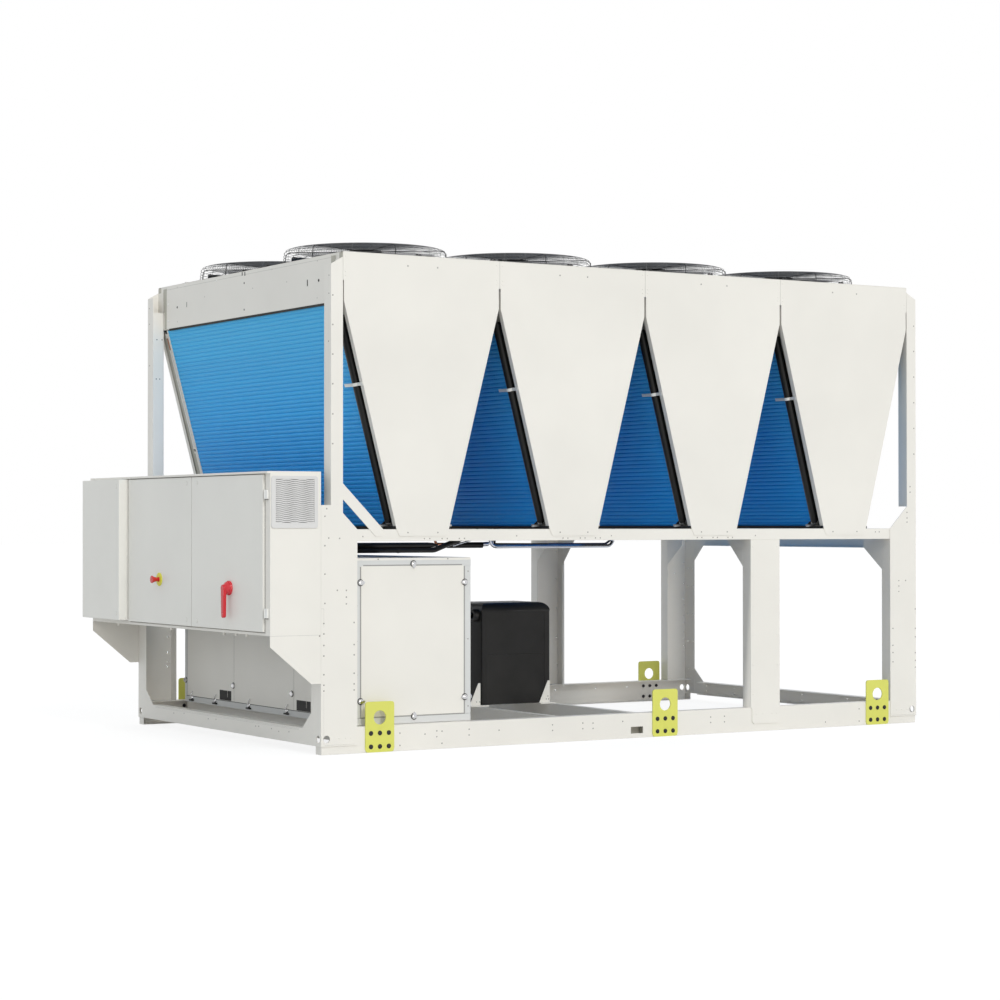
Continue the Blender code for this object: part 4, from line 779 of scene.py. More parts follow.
def headers(number):
    """Black sleeved header pipes on the near ends of the slabs, with their clips, feet and elbows."""
    centre = module_x(number)
    low, high = DECK_RAIL_TOP + 0.034, APEX - 0.062
    depth, radius = 0.008, 0.0222
    y = -(WIDTH / 2 - COIL_END) - radius * 0.72
    near_way = Vector((0, -1, 0))
    pipes, clips, brackets, elbows = Shape(), Shape(), Shape(), Shape()
    for sign in (-1, 1):
        def spot(z):
            return Vector((centre + sign * coil_x(z, depth), y, z))

        def from_foot(dx, dy, dz):
            return spot(low + 0.004) + Vector((sign * dx, dy, dz))

        run = spot(high) - spot(low)
        way, length = run.normalized(), run.length
        out = Vector((sign, 0, 0))
        out = (out - way * out.dot(way)).normalized()
        pipes.lathe(spot(low), way, [(0, 0), (radius * 0.7, 0), (radius, 0.010), (radius, length - 0.006),
                                     (radius * 0.8, length), (0, length + 0.004)], 28)
        clip = spot(1.815)
        strap(clips, clip, way, out, near_way, radius)
        clips.dome(clip + near_way * 0.070 + out * (radius * 0.42 + 0.004) + way * 0.020, out, 0.004, 0.002)
        foot_x = spot(DECK_RAIL_TOP + 0.020).x
        for start, outline in ((0.028, ((-0.012, 0.004), (0.052, 0.004), (0.050, 0.012), (0.002, 0.050))),
                               (-0.030, ((-0.046, 0.004), (-0.006, 0.004), (0.006, 0.048)))):
            points = [(foot_x + sign * dx, DECK_RAIL_TOP + dz) for dx, dz in outline]
            brackets.prism(points, "Y", y + start, y + start + 0.003)
        path = [from_foot(0, 0, 0), from_foot(0, 0, -0.018), from_foot(0.052, -0.004, -0.020)]
        elbows.tube(route(path, 0.010), 0.0052, 10)
        elbows.rod(from_foot(0.050, -0.004, -0.020), from_foot(0.062, -0.004, -0.020), 0.0075, 10)
        path = [from_foot(-0.004, -0.018, 0.006), from_foot(-0.02, -0.022, -0.012), from_foot(-0.046, -0.022, -0.016)]
        elbows.tube(route(path, 0.010), 0.0034, 8)
    pipes.piece(f"headers_{number}", "foam", smooth=40)
    clips.piece(f"header_clips_{number}", "white", smooth=40)
    brackets.piece(f"header_brackets_{number}", "black")
    elbows.piece(f"header_elbows_{number}", "zinc", smooth=40)


def coil_tails(number):
    """Far ends of the slabs: return tubes between two strips, with ties and a copper bend; the return plates and a
    black box behind the strips carry painted shade.
    """
    foot, head = DECK_RAIL_TOP + 0.018, APEX - 0.020
    y = WIDTH / 2 - COIL_END
    gaps, strips, pale, plates, copper = Shape(), Shape(), Shape(), Shape(), Shape()
    bars = [
        # Black box behind the strips: painted shade, showing as dark lines between them.
        (gaps, 1.535, head - 0.02, 0.0005, 0.030, 0.006, 0.030),
        (strips, foot, head, 0.0005, 0.0065, -0.001, 0.040),
        (pale, 1.56, head - 0.09, 0.0155, 0.0275, 0.0005, 0.010),
        # Return plates in the painted-shade ivory: painted shade on the slanted plates.
        (plates, foot, head + 0.01, 0.031, 0.096, 0.0035, 0.0020),
        (strips, foot, 1.534, 0.0065, 0.031, 0.0045, 0.0020),
    ]
    bars += [(strips, z - 0.006, z + 0.006, 0.001, 0.031, -0.0005, 0.014) for z in (1.529, 1.555, 1.824, 1.940)]
    bars += [
        (strips, head - 0.024, head, 0.001, 0.034, -0.001, 0.012),
        (copper, head - 0.088, head - 0.024, 0.012, 0.024, -0.0005, 0.008),
        (copper, foot - 0.012, foot + 0.022, 0.001, 0.060, -0.001, 0.020),
    ]
    for sign in (-1, 1):
        for shape, low, high, first, last, inset, thick in bars:
            coil_bar(shape, number, sign, (low, high), (inset, inset + thick), (y + first, y + last))
    gaps.piece(f"tail_gap_shade_{number}", "gasket")
    strips.piece(f"tail_strips_{number}", "ivory", bevel=0.0008)
    pale.piece(f"tail_tubes_{number}", "white")
    plates.piece(f"tail_shade_plates_{number}", "painted_shade_ivory")
    copper.piece(f"tail_copper_{number}", "copper", smooth=40)


# Rivets and screws
FRONT_DOTS = (
    (0.021, 1.161), (0.021, 1.018), (0.021, 0.880), (0.021, 0.737), (0.089, 0.800), (0.139, 0.799),
    (0.139, 0.766), (0.139, 0.733), (0.0155, 0.640), (0.0155, 0.589), (0.0155, 0.533), (0.0155, 0.482),
    (0.0155, 0.391), (0.0155, 0.340), (0.0155, 0.312), (0.182, 0.641), (0.182, 0.533), (0.182, 0.483),
    (0.182, 0.393), (0.182, 0.341), (0.182, 0.311), (0.042, 1.055), (0.102, 1.053), (0.031, 1.198),
    (0.064, 2.2405), (0.064, 2.096), (0.064, 1.952), (0.064, 1.807), (0.064, 1.660), (0.064, 1.515),
)
REAR_DOTS = (
    (3.720, 1.188), (3.720, 1.156), (3.720, 1.133), (3.659, 0.803), (3.659, 0.773), (3.659, 0.742),
    (3.709, 0.803), (3.615, 0.535), (3.615, 0.440), (3.615, 0.399), (3.615, 0.347), (3.780, 0.641),
    (3.780, 0.5315), (3.780, 0.4835), (3.780, 0.394), (3.780, 0.350), (3.780, 0.312), (3.772, 2.243),
    (3.772, 2.100), (3.772, 1.9545), (3.772, 1.809), (3.772, 1.6635), (3.772, 1.518), (3.743, 1.333),
    (3.743, 1.302),
)
RAIL_DOTS = (
    (0.441, 0.088), (0.441, 0.027), (0.584, 0.077), (0.652, 0.090), (0.682, 0.087), (0.652, 0.061),
    (0.682, 0.027), (0.840, 0.090), (0.840, 0.061), (1.017, 0.077), (1.340, 0.091), (1.340, 0.062),
    (1.5265, 0.092), (1.590, 0.089), (1.5265, 0.0625), (1.590, 0.061), (1.777, 0.090), (2.347, 0.089),
    (2.347, 0.0595), (2.439, 0.0895), (2.439, 0.0595), (3.132, 0.029), (3.372, 0.092), (3.372, 0.024),
)
DECK_RAIL_DOTS = tuple(
    (x, 1.0505) for x in (0.580, 0.611, 0.682, 0.712, 0.782, 0.812, 1.404, 1.434, 1.510, 1.540, 1.605, 1.635,
                          2.259, 2.289, 2.363, 2.392, 2.463, 2.493)
) + ((0.232, 1.062), (1.122, 1.063), (1.705, 1.062), (2.648, 1.060), (3.491, 1.078), (3.519, 1.078))

POST_DOTS = ((0.0780, 2.161), (0.1090, 2.161), (0.0745, 1.9395), (0.0950, 1.9395))


def grid(xs, zs):
    return [(x, z) for x in xs for z in zs]


def dots(name, spots, normal, radius=0.0040, height=0.0014, look="rivet"):
    shape = Shape()
    for spot in spots:
        shape.dome(spot, normal, radius, height, 10)
    return shape.piece(name, look, smooth=60)


def bright_dots(name, spots, normal, radius=0.0056):
    """Flat bright rivet heads on the inner faces."""
    shape = Shape()
    for spot in spots:
        shape.lathe(spot, normal, [(0, 0), (radius, 0), (radius, 0.0012), (radius * 0.9, 0.0020), (0, 0.0020)], 14)
    return shape.piece(name, "bright", smooth=60)


def frame_rivets():
    """Blind rivets and screws of the posts, rails and panels, outside and inside."""
    rail_out = -RAIL_LOW.y - WIDTH / 2
    deck_out = -DECK_RAIL_SIDE - WIDTH / 2
    middles = [module_x(number) - X0 for number in range(1, MODULES + 1)]
    for sign, name in SIDES:
        def over(spots, out=0.0):
            return [side(x, sign, out, z) for x, z in spots]

        normal, inside = (0, sign, 0), (0, -sign, 0)
        xs = [middle + dx for middle in middles for dx in (-0.0855, 0.0855)]
        spots = [*FRONT_DOTS, *REAR_DOTS, *grid(xs, (DECK_TOP - 0.053, DECK_RAIL_TOP - 0.0167))]
        dots(f"post_rivets_{name}", over(spots), normal)
        dots(f"rail_rivets_{name}", over(RAIL_DOTS, rail_out), normal, 0.0038)
        dots(f"deck_rail_rivets_{name}", over(DECK_RAIL_DOTS, deck_out), normal, 0.0036)
        xs = [middle + dx for middle in middles for dx in (0.016 - PITCH / 2, PITCH / 2 - 0.016)]
        pale = grid(xs, (DECK_TOP - 0.022, DECK_TOP - 0.098, DECK_TOP - 0.118))
        pale += grid((2.632, 2.651, 2.698, 2.759, 2.789), (0.094,))
        pale += grid((2.630, 2.795), (0.20, 0.36, 0.52, 0.68, 0.84, 1.0))
        pale += grid((0.100, 0.136, 0.165, 3.64, 3.68, 3.72), (0.078,))
        dots(f"pale_rivets_{name}", over(pale), normal, 0.0042, 0.0016, "ivory")
        white = grid((3.772,), (0.872, 0.740, 0.642, 0.604, 0.53, 0.487, 0.428, 0.386, 0.342, 0.316))
        white += [(3.700, 0.806), *grid((0.176,), (0.4845, 0.394, 0.344, 0.314))]
        white += grid((2.632, 2.795), (0.25, 0.42, 0.60, 0.78, 0.95))
        rail = grid((0.9, 1.15, 2.1, 2.35, 2.784, 3.084, 3.324), (0.093,))
        bright_dots(f"inner_rivets_{name}", over(white, -0.0042) + over(rail, rail_out - 0.0051), inside)
        white = grid((0.036, 0.089), (0.839, 0.725, 0.546, 0.372, 0.197))
        bright_dots(f"rear_plate_rivets_{name}", [side(LENGTH - 0.0042, sign, -d, z) for d, z in white], (-1, 0, 0))
    sill = ((1.295, 0.091), (1.198, 0.094), (0.722, 0.092), (0.686, 0.094), (0.541, 0.092), (0.458, 0.084),
            (1.605, 0.100), (1.74, 0.092), (0.345, 0.09))
    dots("sill_rivets_front", [at(0, y, z) for y, z in sill], (-1, 0, 0), 0.0036)
    dots("beam_rivets_front", [at(0, y, 1.06) for y in (0.25, 0.6, 0.95, 1.3, 1.65, 1.97)], (-1, 0, 0), 0.0036)
    inner = grid((1.9885, 1.698, 1.36, 1.023, 0.6), (0.098, 0.062))
    bright_dots("sill_rivets_rear", [at(LENGTH - 0.0042, y, z) for y, z in inner], (-1, 0, 0), 0.0054)


def post_plates():
    """Closing plates of the front uprights, lips and gussets of the mid posts, and the middle deck beam, with boxes of
    painted shade over the fascias' ends.
    """
    plates, corners, beam = Shape(), Shape(), Shape()
    gusset = ((0.0722, 0.890), (0.1431, 0.972), (0.204, 1.038), (0.0722, 1.038))
    # Thin boxes over the fascias' ends, in the painted-shade ivory: painted shade where the fascias meet the uprights.
    marks = ((0.0006, 0.118, 0.1165, APEX + 0.004, DECK_TOP - 0.010),
             (0.0004, 0.1165, 0.0735, 2.3120, DECK_TOP - 0.014),
             (0.0002, 0.1165, 0.0900, APEX + 0.004, 2.3115),
             (-0.0040, 0.0340, 0.0040, 2.40, DECK_TOP - 0.004))
    for sign, _ in SIDES:
        plates.box(side(0.0548, sign, -0.0720, 1.215), side(0.1150, sign, -0.0732, 2.3115))
        plates.box(side(2.7970, sign, -0.0720, 0.1120), side(2.8105, sign, -0.0732, 0.8700))
        plates.prism([(sign * (WIDTH / 2 - y), z) for y, z in gusset], "X", X0 + 2.8080, X0 + 2.8105)
        for plane, out in FASCIAS:
            face = plane + out * 0.0001
            for thick, first, last, low, top in marks:
                corners.box(side(face, sign, -first, low), side(face + out * thick, sign, -last, top))
    plates.piece("post_plates", "ivory")
    corners.piece("fascia_corner_shade", "painted_shade_ivory")
    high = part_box("deck_beam_mid")[1]
    half, brace = WIDTH / 2 - 0.0723, WIDTH / 2 - 0.2186
    beam.prism([(-half, 0.8937), (-brace, 1.040), (brace, 1.040), (half, 0.8937), (half, high.z), (-half, high.z)],
               "X", X0 + 2.614, X0 + 2.618)
    beam.box((X0 + 2.618, -half, high.z - 0.004), (high.x, half, high.z))
    beam.piece("deck_beam_mid_web", "ivory", replaces=("deck_beam_mid",))
    for sign, name in SIDES:
        spots = [side(x, sign, -0.0732, z) for x, z in POST_DOTS]
        dots(f"upright_rivets_{name}", spots, (0, -sign, 0))
        spots = [side(0.0545, sign, -d, z) for d, z in ((0.022, 2.338), (0.022, 2.250), (0.027, 2.016))]
        dots(f"upright_edge_rivets_{name}", spots, (-1, 0, 0), 0.0036)


def frame_seams():
    """Joints between overlapping sheets, drawn as narrow shadow strips on the outside."""
    fine, deep = Shape(), Shape()
    lift = 0.0003
    strips = ((0.0205, 0.188, 0.0465, 0.0475), (0.0015, 0.0155, 0.7105, 0.7117), (0.0150, 0.0158, 0.62, 0.7105),
              (3.607, 3.770, 0.0465, 0.0475), (0.0150, 0.0157, 0.047, 0.30))
    for sign, _ in SIDES:
        for x1, x2, z1, z2 in strips:
            fine.box(side(x1, sign, 0, z1), side(x2, sign, lift, z2))
        for number in range(2, MODULES + 1):
            x = module_x(number) - X0 - PITCH / 2
            fine.box(side(x - 0.0007, sign, -0.002, APEX + 0.11), side(x + 0.0007, sign, -0.0004, DECK_TOP - 0.004))
    for plane, out in FASCIAS:
        fine.box(at(plane, 0.112, DECK_TOP - 0.021), at(plane + out * lift, WIDTH - 0.112, DECK_TOP - 0.0198))
        deep.box(at(plane - out * 0.0005, 0.112, APEX - 0.0072), at(plane - out * 0.0035, WIDTH - 0.150, APEX + 0.0043))
    for z in (0.1075, 0.1135):
        fine.box(at(0, 0.235, z), at(-0.0003, WIDTH - 0.235, z + 0.0009))
    fine.piece("sheet_seams", "soft_seam")
    deep.piece("coil_head_gaps", "gasket")


def rail_pockets():
    """Shallow boxes behind the slots of the base rails, coloured with painted shade, and the inner ends of the lug
    bolts.
    """
    pockets, ends = Shape(), Shape()
    web = -(RAIL_LOW.y + WIDTH / 2)
    bolt_end = [(0, 0), (0.010, 0), (0.010, 0.003), (0.006, 0.003), (0.006, 0.011), (0, 0.011)]
    for sign, name in SIDES:
        back = web - 0.045
        mouth = web - 0.006
        for x1, x2, first, last, low in (
            (1.815, 1.920, back, back - 0.002, 0.012), (1.815, 1.817, mouth, back, 0.012),
            (1.918, 1.920, mouth, back, 0.012), (1.815, 1.920, mouth, back, 0.068),
        ):
            pockets.box(side(x1, sign, first, low), side(x2, sign, last, 0.070))
        for x, z, _ in lug_spots(name, (0.094, 0.028)):
            ends.lathe((x, sign * (WIDTH / 2 + web - 0.0052), z), (0, -sign, 0), bolt_end, 14)
    # The pockets' colour is painted shade: ivory darkened as it looks inside the rail.
    pockets.piece("rail_pockets", "painted_shade_ivory")
    ends.piece("lug_bolt_ends", "bolt", smooth=40)


def fascia_marks():
    """Slots, plugs and screws in the two fascias."""
    holes, screws, pale = Shape(), Shape(), Shape()
    plugs = ((0.2533, 2.3356, 0.0078), (1.9628, 2.3302, 0.0068), (1.106, 2.3937, 0.0056), (1.106, 2.2536, 0.0054))
    slots = ((0.3761, 2.333, 0.032, 0.0085), (1.8345, 2.336, 0.028, 0.0045),
             (1.1294, 2.4441, 0.018, 0.0085), (1.0969, 2.4413, 0.020, 0.0085))
    small = ((1.9628, 2.442), (1.6014, 2.3602), (0.6065, 2.3577), (1.0026, 2.358), (1.4473, 2.4346), (0.7753, 2.438),
             (0.2678, 2.434), (1.96, 2.25), (0.27, 2.25))
    buttons = (*grid((0.139, 2.085), (2.355, 2.2636)), (1.857, 2.4485), (0.79, 2.447), (1.447, 2.4346))
    for plane, out in FASCIAS:
        axis = (out, 0, 0)
        for y, z, radius in plugs:
            holes.dome(at(plane, y, z), axis, radius, 0.0012)
        for y, z, tall, wide in slots:
            holes.box(at(plane, y - wide / 2, z - tall / 2), at(plane + out * 0.0006, y + wide / 2, z + tall / 2))
        for y, z in small:
            screws.dome(at(plane, y, z), axis, 0.0036, 0.0012)
        for y, z in buttons:
            pale.dome(at(plane, y, z), axis, 0.0062, 0.0022)
    holes.piece("fascia_holes", "gasket", smooth=50)
    screws.piece("fascia_screws", "soft_seam", smooth=50)
    pale.piece("fascia_buttons", "white", smooth=50)


def round_edge(centre, angle, bounds, radius):
    """Where a ray from centre leaves a rectangle with round corners."""
    low_u, low_v, high_u, high_v = bounds
    du, dv = math.cos(angle), math.sin(angle)
    reach = min(((high_u if du > 0 else low_u) - centre[0]) / du, ((high_v if dv > 0 else low_v) - centre[1]) / dv)
    u, v = centre[0] + du * reach, centre[1] + dv * reach
    cu = min(max(u, low_u + radius), high_u - radius)
    cv = min(max(v, low_v + radius), high_v - radius)
    if abs(u - cu) < 1e-9 or abs(v - cv) < 1e-9:
        return u, v
    pu, pv = centre[0] - cu, centre[1] - cv
    along = pu * du + pv * dv
    reach = -along + math.sqrt(along * along - (pu * pu + pv * pv - radius * radius))
    return centre[0] + du * reach, centre[1] + dv * reach


def lug_spots(name, heights):
    """The six bolts of each lug on a side: x, z and the lug's number."""
    for number in (1, 2, 3):
        low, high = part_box(f"lifting_lug_{name}_{number}")
        for dx, z in grid((-0.05, 0.0, 0.05), heights):
            yield (low.x + high.x) / 2 + dx, z, number


def lug_plates():
    """Lifting plates with round corners, each with six bolt heads."""
    count, eye, eye_radius = 96, 0.171, 0.0345
    angles = [2 * math.pi * (i + 0.5) / count for i in range(count)]
    for sign, name in SIDES:
        bolts = Shape()
        for number in (1, 2, 3):
            low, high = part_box(f"lifting_lug_{name}_{number}")
            middle = (low.x + high.x) / 2
            inner, outer = (low.y, high.y)[::sign]
            face = outer - sign * 0.0042
            bounds = (low.x + 0.0005, 0.0006, high.x - 0.0005, high.z - 0.0005)
            rim = [round_edge((middle, eye), angle, bounds, 0.014) for angle in angles]
            hole = [(middle + eye_radius * math.cos(angle), eye + eye_radius * math.sin(angle)) for angle in angles]
            Shape().frame(rim, hole, "Y", inner, face).piece(
                f"lug_{name}_{number}", "yellow", smooth=30, replaces=(f"lifting_lug_{name}_{number}",))
        for x, z, _ in lug_spots(name, (0.0945, 0.0285)):
            bolts.hexagon((x, face, z), (0, sign, 0), 0.017, 0.0041)
        bolts.piece(f"lug_bolts_{name}", "bolt", smooth=30)


# Cabinet
def locks(node_name, name, x, y, heights):
    """Flush quarter-turn locks of a door: shallow cups with a slotted button."""
    button, ring = Shape(), Shape()
    radius, axis = 0.0098, (-1, 0, 0)
    cup = [(0, 0), (radius, 0), (radius, 0.0010), (radius * 0.82, 0.0014), (radius * 0.74, 0.0008),
           (radius * 0.5, 0.0008), (radius * 0.42, 0.0014), (0, 0.0014)]
    shadow = [(0, 0.0001), (radius * 1.10, 0.0001), (radius * 1.10, 0.0003), (0, 0.0003)]
    for z in heights:
        ring.lathe((x, Y0 + y, z), axis, shadow, 28)
        button.lathe((x, Y0 + y, z), axis, cup, 28)
    button.piece(f"{name}s", "door", BODY_OF[node_name], smooth=40)
    ring.piece(f"{name}_rings", "soft_seam", BODY_OF[node_name])


def cabinet_trim():
    """Roof lip, door seams, hinges and locks."""
    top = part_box("cabinet_body")[1].z
    lip, hinges, under, edges, drips = (Shape() for _ in range(5))
    lip.box((DOOR_X - 0.0035, Y0 + 0.0006, top - 0.0115), (X0 - 0.001, -Y0 - 0.0006, top - 0.0004))
    lip.piece("cabinet_roof_lip", "ivory", bevel=0.0014)
    for z, tall in ((1.266, 0.044), (0.693, 0.046)):
        low, high = z - tall / 2, z + tall / 2
        hinges.box((BODY_X, Y0 + 0.017, low), (BODY_X - 0.0100, Y0 + 0.036, high))
        hinges.rod((BODY_X - 0.0085, Y0 + 0.040, low), (BODY_X - 0.0085, Y0 + 0.040, high), 0.0048, 14)
        under.box((BODY_X, Y0 + 0.018, low - 0.0042), (BODY_X - 0.007, Y0 + 0.038, low - 0.0006))
    low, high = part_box("cabinet_door_2")
    under.box((BODY_X, low.y - 0.0050, low.z + 0.002), (BODY_X - 0.0005, low.y - 0.0008, high.z - 0.002))
    hinges.piece("door_hinges", "white", bevel=0.0012)
    under.piece("hinge_shadows", "seam")
    locks("cabinet_door_1", "cabinet_door_1_lock", DOOR_X, 0.941, (0.633, 1.332))
    locks("cabinet_door_2", "cabinet_door_2_lock", DOOR_X, 0.814, (0.633, 1.332))
    for y in (Y0, -Y0):
        out = -1 if y == Y0 else 1
        edges.box((BODY_X + 0.0006, y + out * 0.0003, 0.5835), (X0 - 0.0012, y - out * 0.001, 0.5848))
    edges.piece("cabinet_side_seams", "soft_seam")
    dots("cabinet_side_screws", [(X0 - 0.008, Y0, 0.579)], (0, -1, 0), 0.0042, 0.0016)
    dots("cabinet_side_screws_far", [(X0 - 0.008, -Y0, 0.579)], (0, 1, 0), 0.0042, 0.0016)
    for y in (0.42, 0.56, 0.30, 1.2, 1.9):
        drips.rod((BODY_X + 0.02, Y0 + y, 0.5845), (BODY_X + 0.02, Y0 + y, 0.5700), 0.007, 12)
    drips.piece("cabinet_floor_plugs", "ivory", smooth=40)


def cover():
    """The deeper lid of the third bay, with round edges and two flush locks."""
    low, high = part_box("cabinet_cover")
    shape = Shape()
    shape.box((low.x + 0.0018, low.y, low.z), (high.x, high.y - 0.0004, high.z))
    shape.piece("cover_shell", "door", BODY_OF["cabinet_cover"], bevel=0.003, replaces=("cabinet_cover",), segments=3)
    locks("cabinet_cover", "cover_lock", low.x + 0.0017, 1.746, (1.327, 0.642))


def turned(name, look, node_name, y, z, profile, sides=40, replaces=()):
    """A part of a switch: turned about the normal of the doors."""
    shape = Shape()
    shape.lathe((DOOR_X, Y0 + y, z), (-1, 0, 0), profile, sides)
    shape.piece(name, look, BODY_OF[node_name], smooth=35, replaces=replaces)


def switches():
    """The red rotary handle and the mushroom button on its yellow disc."""
    node_name = "main_switch_handle"
    y, z = 0.428, 0.807
    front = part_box(node_name)[0].x + 0.0005
    depth = DOOR_X - front
    turned("switch_hub", "red", node_name, y, z,
           [(0, 0.0125), (0.0325, 0.0125), (0.0325, 0.015), (0.0275, depth * 0.55), (0.0190, depth * 0.72),
            (0.0175, depth - 0.002), (0.0150, depth), (0, depth)], replaces=(node_name,))
    ends = [(polar(0.0165, math.radians(a)), 0.0) for a in range(0, 181, 20)] + [(Vector((-0.0118, 0, 0)), -0.134)]
    ends += [(polar(0.0118, math.radians(a)), -0.1350) for a in range(200, 341, 20)]
    ends += [(Vector((0.0118, 0, 0)), -0.134)]
    lever = Shape()
    lever.prism([(Y0 + y + turn.x, z + turn.y + drop) for turn, drop in ends], "X", front + 0.0004, front + 0.0185)
    lever.piece("switch_lever", "red", BODY_OF[node_name], bevel=0.003, segments=3)
    turned("switch_base", "red", "cabinet_door_2", y, z,
           [(0, 0.0), (0.036, 0.0), (0.036, 0.008), (0.0338, 0.0121), (0, 0.0121)])
    y, z = 1.281, 0.834
    turned("stop_collar", "collar", "cabinet_door_1", y, z,
           [(0.0126, 0.0), (0.0345, 0.0), (0.0345, 0.0040), (0.0330, 0.0048), (0.0126, 0.0048), (0.0126, 0.0)])
    turned("stop_sleeve", "red", "cabinet_door_1", y, z,
           [(0.0108, 0.0), (0.0125, 0.0), (0.0125, 0.0100), (0.0108, 0.0100), (0.0108, 0.0)], 32)
    node_name = "emergency_stop_button"
    reach = DOOR_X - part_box(node_name)[0].x - 0.0005
    turned("stop_mushroom", "red", node_name, y, z,
           [(0, 0.0062), (0.0098, 0.0062), (0.0098, 0.0175), (0.0112, 0.0200), (0.0132, 0.030),
            (0.0185, reach - 0.006), (0.0200, reach - 0.003), (0.0192, reach - 0.0008), (0.0150, reach),
            (0, reach - 0.0005)], replaces=(node_name,))


def side_grille():
    """Framed air grille on the cabinet's near side: rows of thin waved louvres over a filter mat."""
    x_low, x_high, z_low, z_high = -0.246, -0.037, 1.129, 1.340
    outer = rounded(X0 - 0.270, 1.103, X0 - 0.0185, 1.356, 0.014, 5)
    inner = rounded(X0 + x_low, z_low, X0 + x_high, z_high, 0.003, 5)
    rim, mat, slats = Shape(), Shape(), Shape()
    rim.frame(outer, inner, "Y", Y0 - 0.0046, Y0)
    rim.piece("grille_frame", "grille", bevel=0.0012)
    mat.box((X0 + x_low, Y0 - 0.0006, z_low), (X0 + x_high, Y0 + 0.0002, z_high))
    mat.piece("grille_filter", "mat")
    rows, steps = 23, 44
    section = ((-0.0042, -0.0031), (-0.0034, -0.0016), (-0.0009, 0.0029), (-0.0018, 0.0027))
    for row in range(rows):
        points = []
        for i in range(steps + 1):
            t = i / steps
            x = X0 + x_low + (x_high - x_low) * t
            z = z_low + (z_high - z_low) / rows * (row + 0.5) + 0.0034 * math.cos(2 * math.pi * (t - 0.276) / 0.42)
            points += [(x, Y0 + dy, z + dz) for dy, dz in section]
        slats.sweep(points, 4)
    slats.piece("grille_louvres", "grille", smooth=50)


# Compressor housing
def latch(knobs, under, spot, normal, point):
    """A quarter-turn wing latch: a round boss and a pointed wing over a dark disc of painted shadow."""
    normal, point = Vector(normal), Vector(point)
    across = normal.cross(point)
    # Painted shadow: a thin black disc under the latch.
    under.lathe(spot, normal, [(0, 0), (0.0172, 0), (0.0172, 0.0010), (0, 0.0010)], 24)
    knobs.lathe(spot, normal, [(0, 0), (0.0145, 0), (0.0145, 0.004), (0.0120, 0.010), (0.007, 0.012), (0, 0.012)], 20)
    outline = [(-0.0115, 0.000), (-0.0075, 0.0165), (0.0, 0.0225), (0.0075, 0.0165), (0.0115, 0.000), (0.0, -0.0135)]
    base = [spot + across * u + point * v for u, v in outline]
    knobs.sweep(base + [p + normal * 0.0095 for p in base], len(base))


